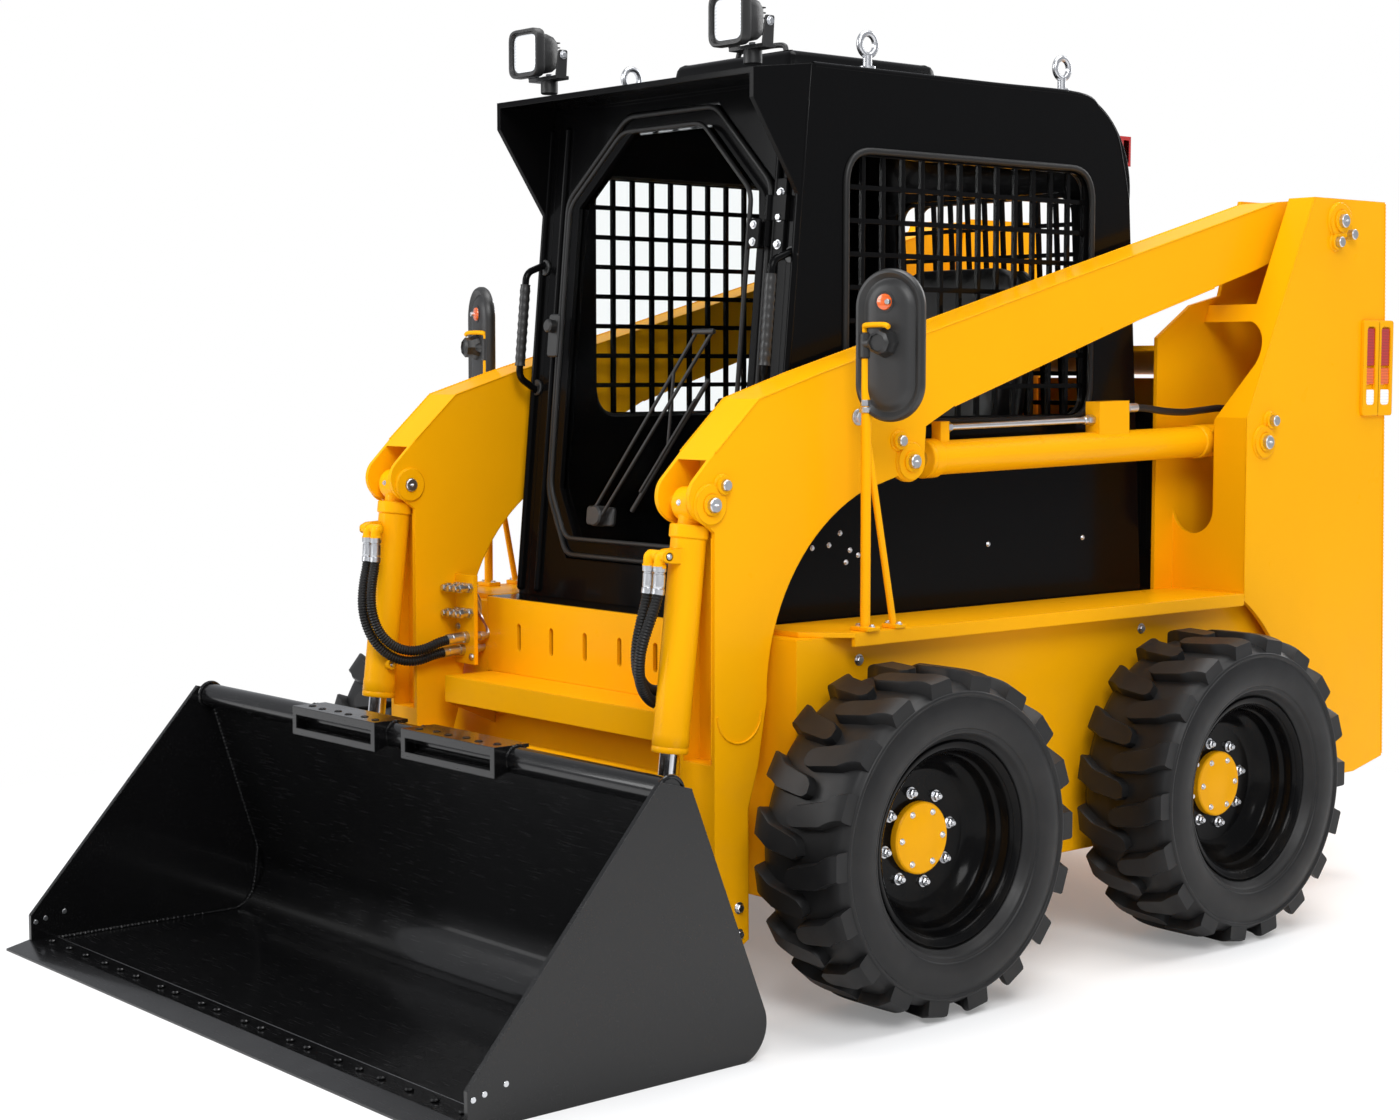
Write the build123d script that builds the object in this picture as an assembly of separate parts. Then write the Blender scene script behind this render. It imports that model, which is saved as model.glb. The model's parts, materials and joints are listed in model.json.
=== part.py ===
from build123d import *
import math
import os

# Skid steer loader, millimetres. Forward is -Y, the machine's left is +X, up is +Z, the ground is z = 0.
# Side-view points are (y, z) pairs with y = 0 halfway between the axles; the finished parts are
# moved along Y at the end so that the origin is the middle of the footprint.

# Widths, from the cab outwards
CAB_HALF_WIDTH = 495.0
CAB_SIDE_ROOM = 5.0
ARM_SIDE_ROOM = 29.5
ARM_WIDTH = 119.0
TOWER_SIDE_ROOM = 106.5
FRAME_INSET = 50.0
LEDGE_OVERLAP = 15.0
WHEEL_OFFSET = 173.0
BUCKET_OVERHANG = 73.0
COUPLER_OVERHANG = 121.0
ARM_X = CAB_HALF_WIDTH + ARM_SIDE_ROOM + ARM_WIDTH / 2
ARM_INNER_X = ARM_X - ARM_WIDTH / 2
ARM_OUTER_X = ARM_X + ARM_WIDTH / 2
TOWER_INNER_X = CAB_HALF_WIDTH + CAB_SIDE_ROOM
TOWER_OUTER_X = ARM_OUTER_X + TOWER_SIDE_ROOM
FENDER_OUTER_X = TOWER_OUTER_X
FRAME_HALF_WIDTH = TOWER_OUTER_X - FRAME_INSET
LEDGE_INNER_X = CAB_HALF_WIDTH - LEDGE_OVERLAP
WHEEL_X = FRAME_HALF_WIDTH + WHEEL_OFFSET
BUCKET_HALF_WIDTH = WHEEL_X + BUCKET_OVERHANG
COUPLER_HALF_WIDTH = ARM_X + COUPLER_OVERHANG

# Wheels
WHEEL_RADIUS = 386.5
TYRE_WIDTH = 264.0
TYRE_WALL = 40.0
TYRE_FACETS = 36
CAVITY_FACETS = 12
TREAD_WIDTH = 208.0
SHOULDER_DROP = 50.0
BEAD_FLARE = 20.0
LUG_HEIGHT = 24.5
LUG_WIDTH = 34.0
LUG_LEAN = 13.0
LUG_SETBACK = 3.0
LUG_ROOT = 305.0
AXLE_Y = 533.5
RIM_RADIUS = 209.5
RIM_FLANGE_RADIUS = 229.0
RIM_WIDTH = 210.0
RIM_WALL = 8.0
DISC_RADIUS = 150.0
DISC_THICKNESS = 14.0
DISC_INSET = 3.0
DISC_FACE_X = WHEEL_X - DISC_INSET
DISC_DISH = 30.0
DISC_FLARE = 8.0
DISC_BACK = 10.0
HUB_RADIUS = 81.5
HUB_OUTSET = 16.0
HUB_FACE_X = WHEEL_X + HUB_OUTSET
STUB_RADIUS = 35.0
STUB_LENGTH = 60.0
AXLE_TUBE_RADIUS = 62.0
AXLE_FLANGE_RADIUS = 93.0
HUB_GAP = 6.0

# Fits
RUNNING_GAP = 0.05
SEAT_GAP = 0.3
SIDE_GAP = 6.0

# Lower frame
FRAME_WALL = 12.0
FRAME_BOTTOM = 232.0
FRAME_FRONT = -742.0
FRAME_REAR = 1300.0
LEDGE_TOP = 828.0
FENDER_THICKNESS = 12.0
FENDER_FRONT = -700.0
FENDER_CORNER = 90.0
FENDER_LIP = 32.0
STEP_FRONT = -890.0
STEP_TOP = 648.0
STEP_HALF_WIDTH = CAB_HALF_WIDTH - 35.0
STEP_FLANGE = 67.0
PANEL_SLOTS = 6
PANEL_SLOT_WIDTH = 16.0
PANEL_SLOT_HEIGHT = 70.0
COUNTERWEIGHT_CUT_RUN = 60.0
COUNTERWEIGHT_CUT_RISE = 40.0
ENGINE_HALF_WIDTH = 260.0
ENGINE_FRONT = 760.0
ENGINE_REAR = 1240.0
ENGINE_TOP = 900.0

# Rear uprights
HOOD_FRONT = 735.0
TOWER_PLATE = 12.0
TOWER_TOP = 1885.0
TOWER_FRONT = 810.0
TOWER_TOP_FRONT = 1087.0
TOWER_KNEE_Z = 1300.0
TOWER_REAR_TOP = 1413.0
TOWER_REAR_LOW = 1455.0
TOWER_LOW_Z = 343.0
ARCH_RADIUS = 515.0
ARCH_MIDDLE = math.radians(28)
ARCH_END = math.radians(-5)
TOWER_SKIRT_RUN = 135.0
TOWER_SKIRT_DROP = 30.0
TOWER_INNER_EDGE = ((HOOD_FRONT, 1510.0), (876.0, 1599.0), (1000.0, 1626.0))
TOWER_CAP_FRONT = 1290.0
PIVOT_NOTCH_LOW = 1600.0
PIVOT_BOSS_RADIUS = 52.0
PIN_HEAD = 12.0
SLOT_LOW = 1056.0
SLOT_NECK = 1290.0
SLOT_WIDE_Z = 1440.0
SLOT_TOP = 1553.0
SLOT_EDGE = 16.0
SLOT_ROUND = 53.0
SLOT_ROUND_MIDDLE = (7.0, 75.0)

# Linkage pivots, side view
ARM_PIVOT = (1200.0, 1825.0)
LIFT_BASE_PIN = (880.0, 1236.0)
LIFT_ROD_PIN = (-332.0, 1213.0)
TILT_BASE_PIN = (-948.0, 1134.0)
TILT_ROD_PIN = (-1051.3, 260.0)
BUCKET_HINGE = (-930.0, 130.0)

# Lift arms
ARM_PLATE = 12.0
ARM_PIVOT_PIN_RADIUS = 30.0
ARM_TAIL_RADIUS = 62.0
CROSS_TUBE = (-885.0, 465.0)
CROSS_TUBE_RADIUS = 45.0
HINGE_PIN_RADIUS = 22.0
ARM_FOOT_RADIUS = 48.0
LIFT_BOSS_RADIUS = 30.0

# The arm's outline, side view, from the nose over the top to the tail and back below; a pair in a
# pair is an arc's middle and end.
ARM_TOP_EDGE = ((-805.0, 1362.0), (-621.0, 1418.0), (267.0, 1660.0), (1071.0, 1876.0))
ARM_LOW_EDGE = ((969.0, 1688.0), (498.0, 1555.0), (-182.0, 1341.0), (-279.0, 1294.0), (-284.0, 1213.0))
ARM_LUG_END = (-370.0, 1180.0)
ARM_KNEE_START = (-478.0, 1151.0)
ARM_KNEE = ((-685.0, 992.0), (-780.0, 693.0))
ARM_LEG_BACK = ((-806.0, 545.0), (-835.0, 455.0), (-832.0, 160.0))
ARM_LEG_FRONT = ((-933.0, 260.0), (-933.0, 1072.0), (-963.0, 1095.0))
ARM_HEAD = ((-1004.0, 1140.0), (-985.0, 1193.0))
ARM_NOSE = (-931.0, 1247.0)
BEAM_HOLLOW = ((-560.0, 1300.0), (-560.0, 1405.0), (267.0, 1635.0), (1071.0, 1850.0), (1100.0, 1765.0),
               (498.0, 1580.0), (-250.0, 1345.0))
LEG_HOLLOW = ((-860.0, 560.0), (-820.0, 560.0), (-795.0, 700.0), (-760.0, 900.0), (-640.0, 1130.0),
              (-620.0, 1240.0), (-860.0, 1240.0))
CYLINDER_CHANNEL = ((-1100.0, 560.0), (-885.0, 560.0), (-885.0, 1230.0), (-1100.0, 1230.0))
ROD_POCKET = ((-410.0, 1090.0), (-410.0, 1250.0), (-370.0, 1290.0), (-230.0, 1290.0), (-230.0, 1090.0))

# Cylinders
LIFT_BARREL_RADIUS = 41.0
LIFT_ROD_RADIUS = 22.0
LIFT_BARREL_END = 1114.0
LIFT_EYE_RADIUS = 44.0
LIFT_EYE_WIDTH = 60.0
LIFT_PIN_RADIUS = 25.0
LIFT_BLOCK_NEAR = 372.0
LIFT_BLOCK_FAR = 490.0
LIFT_BLOCK_WIDTH = 46.0
LIFT_BLOCK_HEIGHT = 118.0
PIPE_HEIGHT = 72.0
PIPE_RADIUS = 7.0
PIPE_END = 1062.0
PIPE_FOOT = 30.0
TILT_BARREL_RADIUS = 40.0
TILT_ROD_RADIUS = 22.0
TILT_BARREL_END = 546.0
TILT_EYE_RADIUS = 38.0
TILT_EYE_WIDTH = 56.0
TILT_PIN_RADIUS = 24.0
BARREL_WALL = 8.0
BOSS_RADIUS = 40.0
EYE_NECK = 23.0
GLAND_LENGTH = 40.0
GLAND_LIP = 5.0
NECK_INSET = 2.0
PISTON_START = 150.0
PISTON_LENGTH = 40.0
BORE_START = 30.0

# Bucket and coupler
BUCKET_PLATE = 12.0
EDGE_TIP = -1865.0
EDGE_BACK = -1740.0
EDGE_THICKNESS = 18.0
HEEL_START = (-1230.0, 0.0)
HEEL_MID = (-1172.0, 48.0)
HEEL_END = (-1155.0, 170.0)
HEEL_SLANT = 0.8
BUCKET_TUBE = (-1300.0, 585.0)
BUCKET_TUBE_RADIUS = 30.0
BACK_TOP = (BUCKET_TUBE[0] + 18.0, BUCKET_TUBE[1] - 20.0)
EDGE_BEVEL = 60.0
EDGE_NOSE = 5.0
SIDE_NOSE = 80.0
SIDE_TOP = ((-1335.0, 612.0), (-1255.0, 590.0))
SIDE_HEEL = ((-1055.0, 100.0), ((-1058.0, 45.0), (-1110.0, 0.0)))
BUCKET_STEP_X = 236.0
BUCKET_STEP_WIDTH = 362.0
BUCKET_STEP_REACH = 62.0
BUCKET_STEP_LIP = 64.0
STEP_PLATE = 8.0
COUPLER_THICKNESS = 20.0
COUPLER_LOW = 12.0
COUPLER_HEIGHT = 230.0
EAR_THICKNESS = 20.0
EAR_HINGE_RADIUS = 45.0
EAR_ROD_RADIUS = 36.0
EAR_BOSS_RADIUS = 26.0

# Cab
CAB_WALL = 40.0
CAB_BOTTOM = LEDGE_TOP + FENDER_THICKNESS
CAB_FRONT_LOW = -630.0
CAB_FRONT_TOP = -510.0
CAB_ROOF = 2130.0
CAB_REAR_LOW = 698.0
CAB_REAR_SHOULDER = (631.0, 1867.0)
CAB_REAR_ROUND = (579.0, 2045.0)
CAB_ROOF_REAR = 440.0
SIDE_WINDOW = (-400.0, 480.0, 1300.0, 1940.0)
REAR_WINDOW = (CAB_HALF_WIDTH - 165.0, 1250.0, 1900.0)
WINDOW_RADIUS = 60.0
SIDE_GRILLE_HOLES = (13, 8)
REAR_GRILLE_HOLES = (10, 8)
ROOF_SPLIT = CAB_ROOF - CAB_WALL
REAR_SPLIT = 300.0
FOOT_SPLIT = (-400.0, CAB_BOTTOM + CAB_WALL)
CAB_REACH = 900.0
SEAT_BOX = (250.0, 60.0, 560.0, 1090.0)
SEAT_CUSHION = (240.0, 540.0, 1200.0)
SEAT_BACK_SIZE = (460.0, 110.0, 520.0)
SEAT_BACK_PLACE = (0.0, 500.0, 1465.6)
SEAT_BACK_LEAN = 8.0
LEVER_X = 290.0
LEVER_Y = -20.0
LEVER_FOOT = (60.0, 80.0, 170.0)
LEVER_LEAN = 0.25
LEVER_RADIUS = 11.0
LEVER_LENGTH = 240.0
GRIP_RADIUS = 22.0
GRIP_LENGTH = 110.0
GRIP_LAP = 5.0
GRILLE_BAR = 12.0
GRILLE_DEPTH = 10.0
VISOR_FRONT = -690.0
VISOR_THICKNESS = 14.0
VISOR_DROP = 22.0
VISOR_WING_LOW = 1815.0
VISOR_WING_NOSE = 90.0
VISOR_ROOT = 30.0

# Doors
DOOR_HALF_WIDTH = CAB_HALF_WIDTH - 100.0
DOOR_TOP_HALF_WIDTH = DOOR_HALF_WIDTH - 225.0
DOOR_TOP = 2062.0
DOOR_SHOULDER = 1860.0
DOOR_HIP = 1110.0
DOOR_LOW = 950.0
DOOR_LOW_HALF_WIDTH = DOOR_HALF_WIDTH - 95.0
DOOR_RAIL = 46.0
DOOR_THICKNESS = 30.0
DOOR_GAP = 6.0
GLASS_THICKNESS = 6.0
HINGE_HEIGHTS = (1240.0, 1740.0)
HINGE_STANDOFF = 14.0
HINGE_KNUCKLE_RADIUS = 9.0
HINGE_KNUCKLE_LENGTH = 60.0
REAR_DOOR_HALF_WIDTH = TOWER_INNER_X - 10.0
REAR_DOOR_LOW = 470.0
REAR_DOOR_TOP = 1400.0
REAR_DOOR_THICKNESS = 32.0
REAR_DOOR_FACE = 1430.0
REAR_LEAF = 60.0
LOUVRES = 8
LOUVRE_LOW = 700.0
LOUVRE_PITCH = 70.0
LOUVRE_WIDTH = 520.0
LOUVRE_HEIGHT = 28.0
REAR_HINGE_X = -(REAR_DOOR_HALF_WIDTH + TOWER_INNER_X) / 2
REAR_HINGE_STANDOFF = 12.0
REAR_HINGE_Y = REAR_DOOR_FACE + REAR_HINGE_STANDOFF
REAR_HINGE_HEIGHTS = (620.0, 1180.0)
HOOD_FRONT_Z = 1490.0
HOOD_REAR_Z = 1425.0
HOOD_THICKNESS = 14.0

# Lamps and small fittings
LAMP_X = CAB_HALF_WIDTH - 104.0
EYE_X = CAB_HALF_WIDTH - 48.0
LAMP_Y = -640.0
LAMP_LIFT = 95.0
LAMP_SIZE = 122.0
LAMP_DEPTH = 90.0
LAMP_ROUND = 24.0
LAMP_RIM = 12.0
LAMP_BACK_SIZE = 100.0
LAMP_FOOT_FRONT = -630.0
LAMP_FOOT_BACK = -570.0
LAMP_FOOT_WIDTH = 40.0
LAMP_FOOT_HEIGHT = 50.0
EYE_Y = (-285.0, 413.0)
EYE_LIFT = 66.0
EYE_RING_RADIUS = 26.0
EYE_WIRE_RADIUS = 8.0
EYE_COLLAR_RADIUS = 20.0
EYE_COLLAR_HEIGHT = 14.0
EYE_SHANK_RADIUS = 11.0
EYE_SHANK_HEIGHT = 40.0
EYE_BORE_RADIUS = 19.0
HATCH = (250.0, -354.0, 213.0)
HATCH_HEIGHT = 40.0
HATCH_ROUND = 50.0
HATCH_CHAMFER = 18.0
REAR_LAMP_WIDTH = 58.0
REAR_LAMP_OUT = 59.0
REAR_LAMP_LOW = CAB_ROOF - 168.0
REAR_LAMP_TOP = CAB_ROOF - 90.0
HANDLE_X = CAB_HALF_WIDTH - CAB_WALL / 2
HANDLE_LOW = 1370.0
HANDLE_HIGH = 1700.0
HANDLE_OUT = 62.0
HANDLE_BEND = 30.0
HANDLE_RADIUS = 9.0
MIRROR_X = FENDER_OUTER_X - 20.0
MIRROR_POST_Y = -560.0
MIRROR_BRACE_Y = -470.0
POST_RADIUS = 10.0
POST_HEIGHT = 720.0
POST_FOOT_RADIUS = 24.0
POST_FOOT_HEIGHT = 10.0
BRACE_RADIUS = 7.0
BRACE_HEIGHT = 430.0
BRACE_FOOT_RADIUS = 18.0
MIRROR_LIFT = 640.0
MIRROR_SIZE = (150.0, 45.0, 340.0)
MIRROR_CHAMFER = 16.0
MIRROR_OFFSET = 55.0
MIRROR_SETBACK = 15.0
MIRROR_CLAMP = (40.0, 60.0, 40.0)
TAIL_LAMP_LOW = 1310.0
TAIL_LAMP_HEIGHT = 240.0
TAIL_LAMP_WIDTH = 90.0
TAIL_LAMP_DEPTH = 24.0

# Hoses
HOSE_RADIUS = 8.0
HOSE_ARC_SHARE = 0.45
PORT_FACE = 1002.0
PORT_ROOM = 6.5
PORT_INNER = 52.0
PORT_OUTER = 12.0
PORT_Y = (-1052.0, -995.0)
PORT_HEIGHT = 26.0
BULKHEAD_FACE = -812.0
BULKHEAD_WIDTH = 84.0
BULKHEAD_LOW = 670.0
BULKHEAD_TOP = 900.0

# Every Y is shifted by this, so that the origin is midway between the cutting edge and the tail.
ORIGIN_SHIFT = -(EDGE_TIP + TOWER_REAR_LOW) / 2


def block(x0, x1, y0, y1, z0, z1):
    """Box between two corners."""
    centre = Pos((x0 + x1) / 2, (y0 + y1) / 2, (z0 + z1) / 2)
    return centre * Box(x1 - x0, y1 - y0, z1 - z0)


def outline(start, *steps):
    """Face from a start point and steps: a point draws a line, a (middle, end) pair draws an arc."""
    edges = []
    here = start
    for step in steps:
        if isinstance(step[0], tuple):
            edges.append(ThreePointArc(here, step[0], step[1]))
            here = step[1]
        else:
            edges.append(Line(here, step))
            here = step
    if here != start:
        edges.append(Line(here, start))
    return make_face(edges)


def slab(face, x0, x1):
    """Side-view face carried across the machine from x0 to x1."""
    return extrude(Plane.YZ.offset(x0) * face, amount=x1 - x0)


def cross_pin(point, radius, x0, x1):
    """Cylinder along X at a side-view point."""
    return slab(Pos(*point) * Circle(radius), x0, x1)


def both_sides(part):
    """A left-hand part with its mirror image."""
    return Compound(children=[part, mirror(part, about=Plane.YZ)])


def along(base, tip, x):
    """Plane at a base point whose normal runs towards the tip, in a side view at x."""
    direction = (0, tip[0] - base[0], tip[1] - base[1])
    return Plane(origin=(x, *base), x_dir=(1, 0, 0), z_dir=direction)


def distance(a, b):
    return math.hypot(a[0] - b[0], a[1] - b[1])


def point_on(start, end, z):
    """Point of a straight side-view line at height z."""
    share = (z - start[1]) / (end[1] - start[1])
    return (start[0] + share * (end[0] - start[0]), z)


CAB_FRONT_BASE = (CAB_FRONT_LOW, CAB_BOTTOM)
CAB_FRONT_HEAD = (CAB_FRONT_TOP, CAB_ROOF)
FRONT_PLANE = Plane(
    origin=(0, *CAB_FRONT_BASE),
    x_dir=(1, 0, 0),
    z_dir=(0, CAB_BOTTOM - CAB_ROOF, CAB_FRONT_TOP - CAB_FRONT_LOW),
)
FRONT_RISE = CAB_ROOF - CAB_BOTTOM
FRONT_SCALE = distance(CAB_FRONT_BASE, CAB_FRONT_HEAD) / FRONT_RISE


def up_front(z):
    """Distance up the leaning cab front for a height z."""
    return (z - CAB_BOTTOM) * FRONT_SCALE


# Lower frame


def make_main_frame():
    """Open tub: belly pan, side walls with ledges on top, front and rear plates."""
    half = FRAME_HALF_WIDTH
    floor = block(-half, half, FRAME_FRONT, FRAME_REAR, FRAME_BOTTOM, FRAME_BOTTOM + FRAME_WALL)
    side = block(half - FRAME_WALL, half, FRAME_FRONT, FRAME_REAR, FRAME_BOTTOM, LEDGE_TOP)
    ledge = block(LEDGE_INNER_X, half, FRAME_FRONT, FRAME_REAR, LEDGE_TOP - FRAME_WALL, LEDGE_TOP)
    cheek = block(LEDGE_INNER_X, half, FRAME_FRONT, FRAME_FRONT + FRAME_WALL, FRAME_BOTTOM, LEDGE_TOP)
    front_top = STEP_TOP - FRAME_WALL
    front = block(-half, half, FRAME_FRONT, FRAME_FRONT + FRAME_WALL, FRAME_BOTTOM, front_top)
    rear = block(-half, half, FRAME_REAR - FRAME_WALL, FRAME_REAR, FRAME_BOTTOM, REAR_DOOR_LOW)
    left = side + ledge + cheek
    return floor + front + rear + left + mirror(left, about=Plane.YZ)


def make_fenders():
    """Running boards over the front wheels, with a turned-down outer lip and a cut front corner."""
    inner = TOWER_INNER_X + TOWER_PLATE
    points = [
        (inner, FENDER_FRONT),
        (FENDER_OUTER_X - FENDER_CORNER, FENDER_FRONT),
        (FENDER_OUTER_X, FENDER_FRONT + FENDER_CORNER),
        (FENDER_OUTER_X, TOWER_FRONT),
        (inner, TOWER_FRONT),
    ]
    board = extrude(Pos(0, 0, LEDGE_TOP) * make_face(Polyline(*points, close=True)), FENDER_THICKNESS)
    lip_x = FENDER_OUTER_X - FENDER_THICKNESS
    lip_front = FENDER_FRONT + FENDER_CORNER
    lip = block(lip_x, FENDER_OUTER_X, lip_front, TOWER_FRONT, CAB_BOTTOM - FENDER_LIP, CAB_BOTTOM)
    return both_sides(board + lip)


def make_front_step():
    """Folded tread across the nose, with gussets under it."""
    half = STEP_HALF_WIDTH
    plate = block(-half, half, STEP_FRONT, FRAME_FRONT + FRAME_WALL, STEP_TOP - FRAME_WALL, STEP_TOP)
    flange = block(-half, half, STEP_FRONT, STEP_FRONT + FRAME_WALL, STEP_TOP - STEP_FLANGE, STEP_TOP)
    gusset_face = outline(
        (STEP_FRONT, STEP_TOP - FRAME_WALL),
        (STEP_FRONT, STEP_TOP - STEP_FLANGE),
        (FRAME_FRONT, STEP_TOP - 2 * STEP_FLANGE),
        (FRAME_FRONT, STEP_TOP - FRAME_WALL),
    )
    gussets = slab(gusset_face, half - FRAME_WALL, half)
    return plate + flange + gussets + mirror(gussets, about=Plane.YZ)


def make_front_panel():
    """Slotted cover between the step and the cab floor."""
    half = LEDGE_INNER_X
    panel = block(-half, half, FRAME_FRONT, FRAME_FRONT + FRAME_WALL, STEP_TOP, CAB_BOTTOM)
    pitch = 2 * half / (PANEL_SLOTS + 1)
    middle = (STEP_TOP + CAB_BOTTOM) / 2
    slot = Rot(90, 0, 0) * SlotOverall(PANEL_SLOT_HEIGHT, PANEL_SLOT_WIDTH, rotation=90)
    for index in range(PANEL_SLOTS):
        x = -half + pitch * (index + 1)
        panel -= extrude(Pos(x, FRAME_FRONT + 2 * FRAME_WALL, middle) * slot, 3 * FRAME_WALL)
    return panel


def make_axle_tubes():
    """Four stub tubes on the frame sides; the wheel stubs turn inside them."""
    inner = FRAME_HALF_WIDTH
    outer = DISC_FACE_X - DISC_THICKNESS - HUB_GAP
    tubes = []
    for y in (-AXLE_Y, AXLE_Y):
        tube = cross_pin((y, WHEEL_RADIUS), AXLE_TUBE_RADIUS, inner, outer)
        flange = cross_pin((y, WHEEL_RADIUS), AXLE_FLANGE_RADIUS, inner, inner + FRAME_WALL)
        bore = cross_pin((y, WHEEL_RADIUS), STUB_RADIUS + RUNNING_GAP, outer - STUB_LENGTH - HUB_GAP, outer)
        tube = tube + flange - bore
        tubes.append(tube)
        tubes.append(mirror(tube, about=Plane.YZ))
    return Compound(children=tubes)


def make_counterweight():
    """Cast block across the tail, between the uprights."""
    face = outline(
        (FRAME_REAR, TOWER_LOW_Z),
        (FRAME_REAR, REAR_DOOR_LOW - DOOR_GAP),
        (TOWER_REAR_LOW, REAR_DOOR_LOW - DOOR_GAP),
        (TOWER_REAR_LOW, TOWER_LOW_Z + COUNTERWEIGHT_CUT_RISE),
        (TOWER_REAR_LOW - COUNTERWEIGHT_CUT_RUN, TOWER_LOW_Z),
    )
    return slab(face, -TOWER_INNER_X, TOWER_INNER_X)


def make_engine_block():
    """Engine and pump group as one plain block on the belly pan."""
    half = ENGINE_HALF_WIDTH
    return block(-half, half, ENGINE_FRONT, ENGINE_REAR, FRAME_BOTTOM + FRAME_WALL, ENGINE_TOP)


def make_hood():
    """Engine cover between the uprights."""
    top = outline(
        (HOOD_FRONT, HOOD_FRONT_Z),
        (TOWER_REAR_TOP, HOOD_REAR_Z),
        (TOWER_REAR_TOP, HOOD_REAR_Z - HOOD_THICKNESS),
        (HOOD_FRONT, HOOD_FRONT_Z - HOOD_THICKNESS),
    )
    return slab(top, -TOWER_INNER_X, TOWER_INNER_X)


# Rear uprights


def tower_outline():
    """Outer side plate: leaning front edge, straight rear edge, arch over the rear wheel."""
    arch = []
    for angle in (math.acos((TOWER_FRONT - AXLE_Y) / ARCH_RADIUS), ARCH_MIDDLE, ARCH_END):
        arch.append((AXLE_Y + ARCH_RADIUS * math.cos(angle), WHEEL_RADIUS + ARCH_RADIUS * math.sin(angle)))
    return outline(
        (TOWER_TOP_FRONT, TOWER_TOP),
        (TOWER_REAR_TOP, TOWER_TOP),
        (TOWER_REAR_LOW, TOWER_LOW_Z),
        (TOWER_REAR_LOW - TOWER_SKIRT_RUN, TOWER_LOW_Z - TOWER_SKIRT_DROP),
        (arch[2][0], TOWER_LOW_Z - TOWER_SKIRT_DROP),
        arch[2],
        (arch[1], arch[0]),
        (TOWER_FRONT, TOWER_KNEE_Z),
    )


def make_tower():
    """Left upright: two side plates, a slotted front plate, a rear plate, bosses and pins."""
    inner_face = TOWER_INNER_X + TOWER_PLATE
    outer_face = TOWER_OUTER_X - TOWER_PLATE
    outer = slab(tower_outline(), outer_face, TOWER_OUTER_X)
    inner = slab(
        outline(
            (HOOD_FRONT, LEDGE_TOP),
            *TOWER_INNER_EDGE,
            (TOWER_TOP_FRONT, TOWER_TOP),
            (TOWER_REAR_TOP, TOWER_TOP),
            point_on((TOWER_REAR_TOP, TOWER_TOP), (TOWER_REAR_LOW, TOWER_LOW_Z), LEDGE_TOP),
        ),
        TOWER_INNER_X,
        inner_face,
    )
    lean = (TOWER_TOP_FRONT - TOWER_FRONT) / (TOWER_TOP - TOWER_KNEE_Z)
    front = slab(
        outline(
            (TOWER_FRONT, LEDGE_TOP),
            (TOWER_FRONT, TOWER_KNEE_Z),
            (TOWER_TOP_FRONT, TOWER_TOP),
            (TOWER_TOP_FRONT + TOWER_PLATE + TOWER_PLATE * lean, TOWER_TOP),
            (TOWER_FRONT + TOWER_PLATE, TOWER_KNEE_Z),
            (TOWER_FRONT + TOWER_PLATE, LEDGE_TOP),
        ),
        inner_face,
        outer_face,
    )
    slot_right = ARM_OUTER_X
    slot_wide = outer_face - SLOT_EDGE
    slot_middle = (slot_wide - SLOT_ROUND_MIDDLE[0], SLOT_WIDE_Z + SLOT_ROUND_MIDDLE[1])
    slot_radius = (slot_right - inner_face) / 2
    slot_face = make_face(
        [
            ThreePointArc(
                (inner_face, SLOT_LOW),
                (inner_face + slot_radius, SLOT_LOW - slot_radius),
                (slot_right, SLOT_LOW),
            ),
            Line((slot_right, SLOT_LOW), (slot_right, SLOT_NECK)),
            Line((slot_right, SLOT_NECK), (slot_wide, SLOT_WIDE_Z)),
            ThreePointArc((slot_wide, SLOT_WIDE_Z), slot_middle, (slot_wide - SLOT_ROUND, SLOT_TOP)),
            Line((slot_wide - SLOT_ROUND, SLOT_TOP), (inner_face, SLOT_TOP)),
            Line((inner_face, SLOT_TOP), (inner_face, SLOT_LOW)),
        ]
    )
    notch_x = ARM_OUTER_X + 4 * SIDE_GAP
    notch_top = TOWER_TOP + TOWER_PLATE
    notch = block(inner_face, notch_x, TOWER_FRONT, TOWER_CAP_FRONT, PIVOT_NOTCH_LOW, notch_top)
    slot_depth = TOWER_TOP_FRONT - TOWER_FRONT + TOWER_PLATE
    slot = extrude(Plane.XZ.offset(-TOWER_TOP_FRONT) * slot_face, slot_depth)
    front = front - slot - notch
    rear = slab(
        outline(
            (TOWER_REAR_TOP - TOWER_PLATE, TOWER_TOP),
            (TOWER_REAR_TOP, TOWER_TOP),
            (TOWER_REAR_LOW, TOWER_LOW_Z),
            (TOWER_REAR_LOW - TOWER_PLATE, TOWER_LOW_Z),
        ),
        inner_face,
        outer_face,
    )
    cap = block(inner_face, outer_face, TOWER_CAP_FRONT, TOWER_REAR_TOP, TOWER_TOP - TOWER_PLATE, TOWER_TOP)
    pivot = cross_pin(ARM_PIVOT, ARM_PIVOT_PIN_RADIUS, TOWER_INNER_X, TOWER_OUTER_X + PIN_HEAD)
    pivot += cross_pin(ARM_PIVOT, PIVOT_BOSS_RADIUS, inner_face, ARM_INNER_X - SIDE_GAP)
    pivot += cross_pin(ARM_PIVOT, PIVOT_BOSS_RADIUS, ARM_OUTER_X + SIDE_GAP, outer_face)
    eye_half = LIFT_EYE_WIDTH / 2
    base = cross_pin(LIFT_BASE_PIN, LIFT_PIN_RADIUS, TOWER_INNER_X, TOWER_OUTER_X + PIN_HEAD)
    base += cross_pin(LIFT_BASE_PIN, BOSS_RADIUS, inner_face, ARM_X - eye_half - SIDE_GAP)
    base += cross_pin(LIFT_BASE_PIN, BOSS_RADIUS, ARM_X + eye_half + SIDE_GAP, outer_face)
    return outer + inner + front + rear + cap + pivot + base


# Cab


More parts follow.
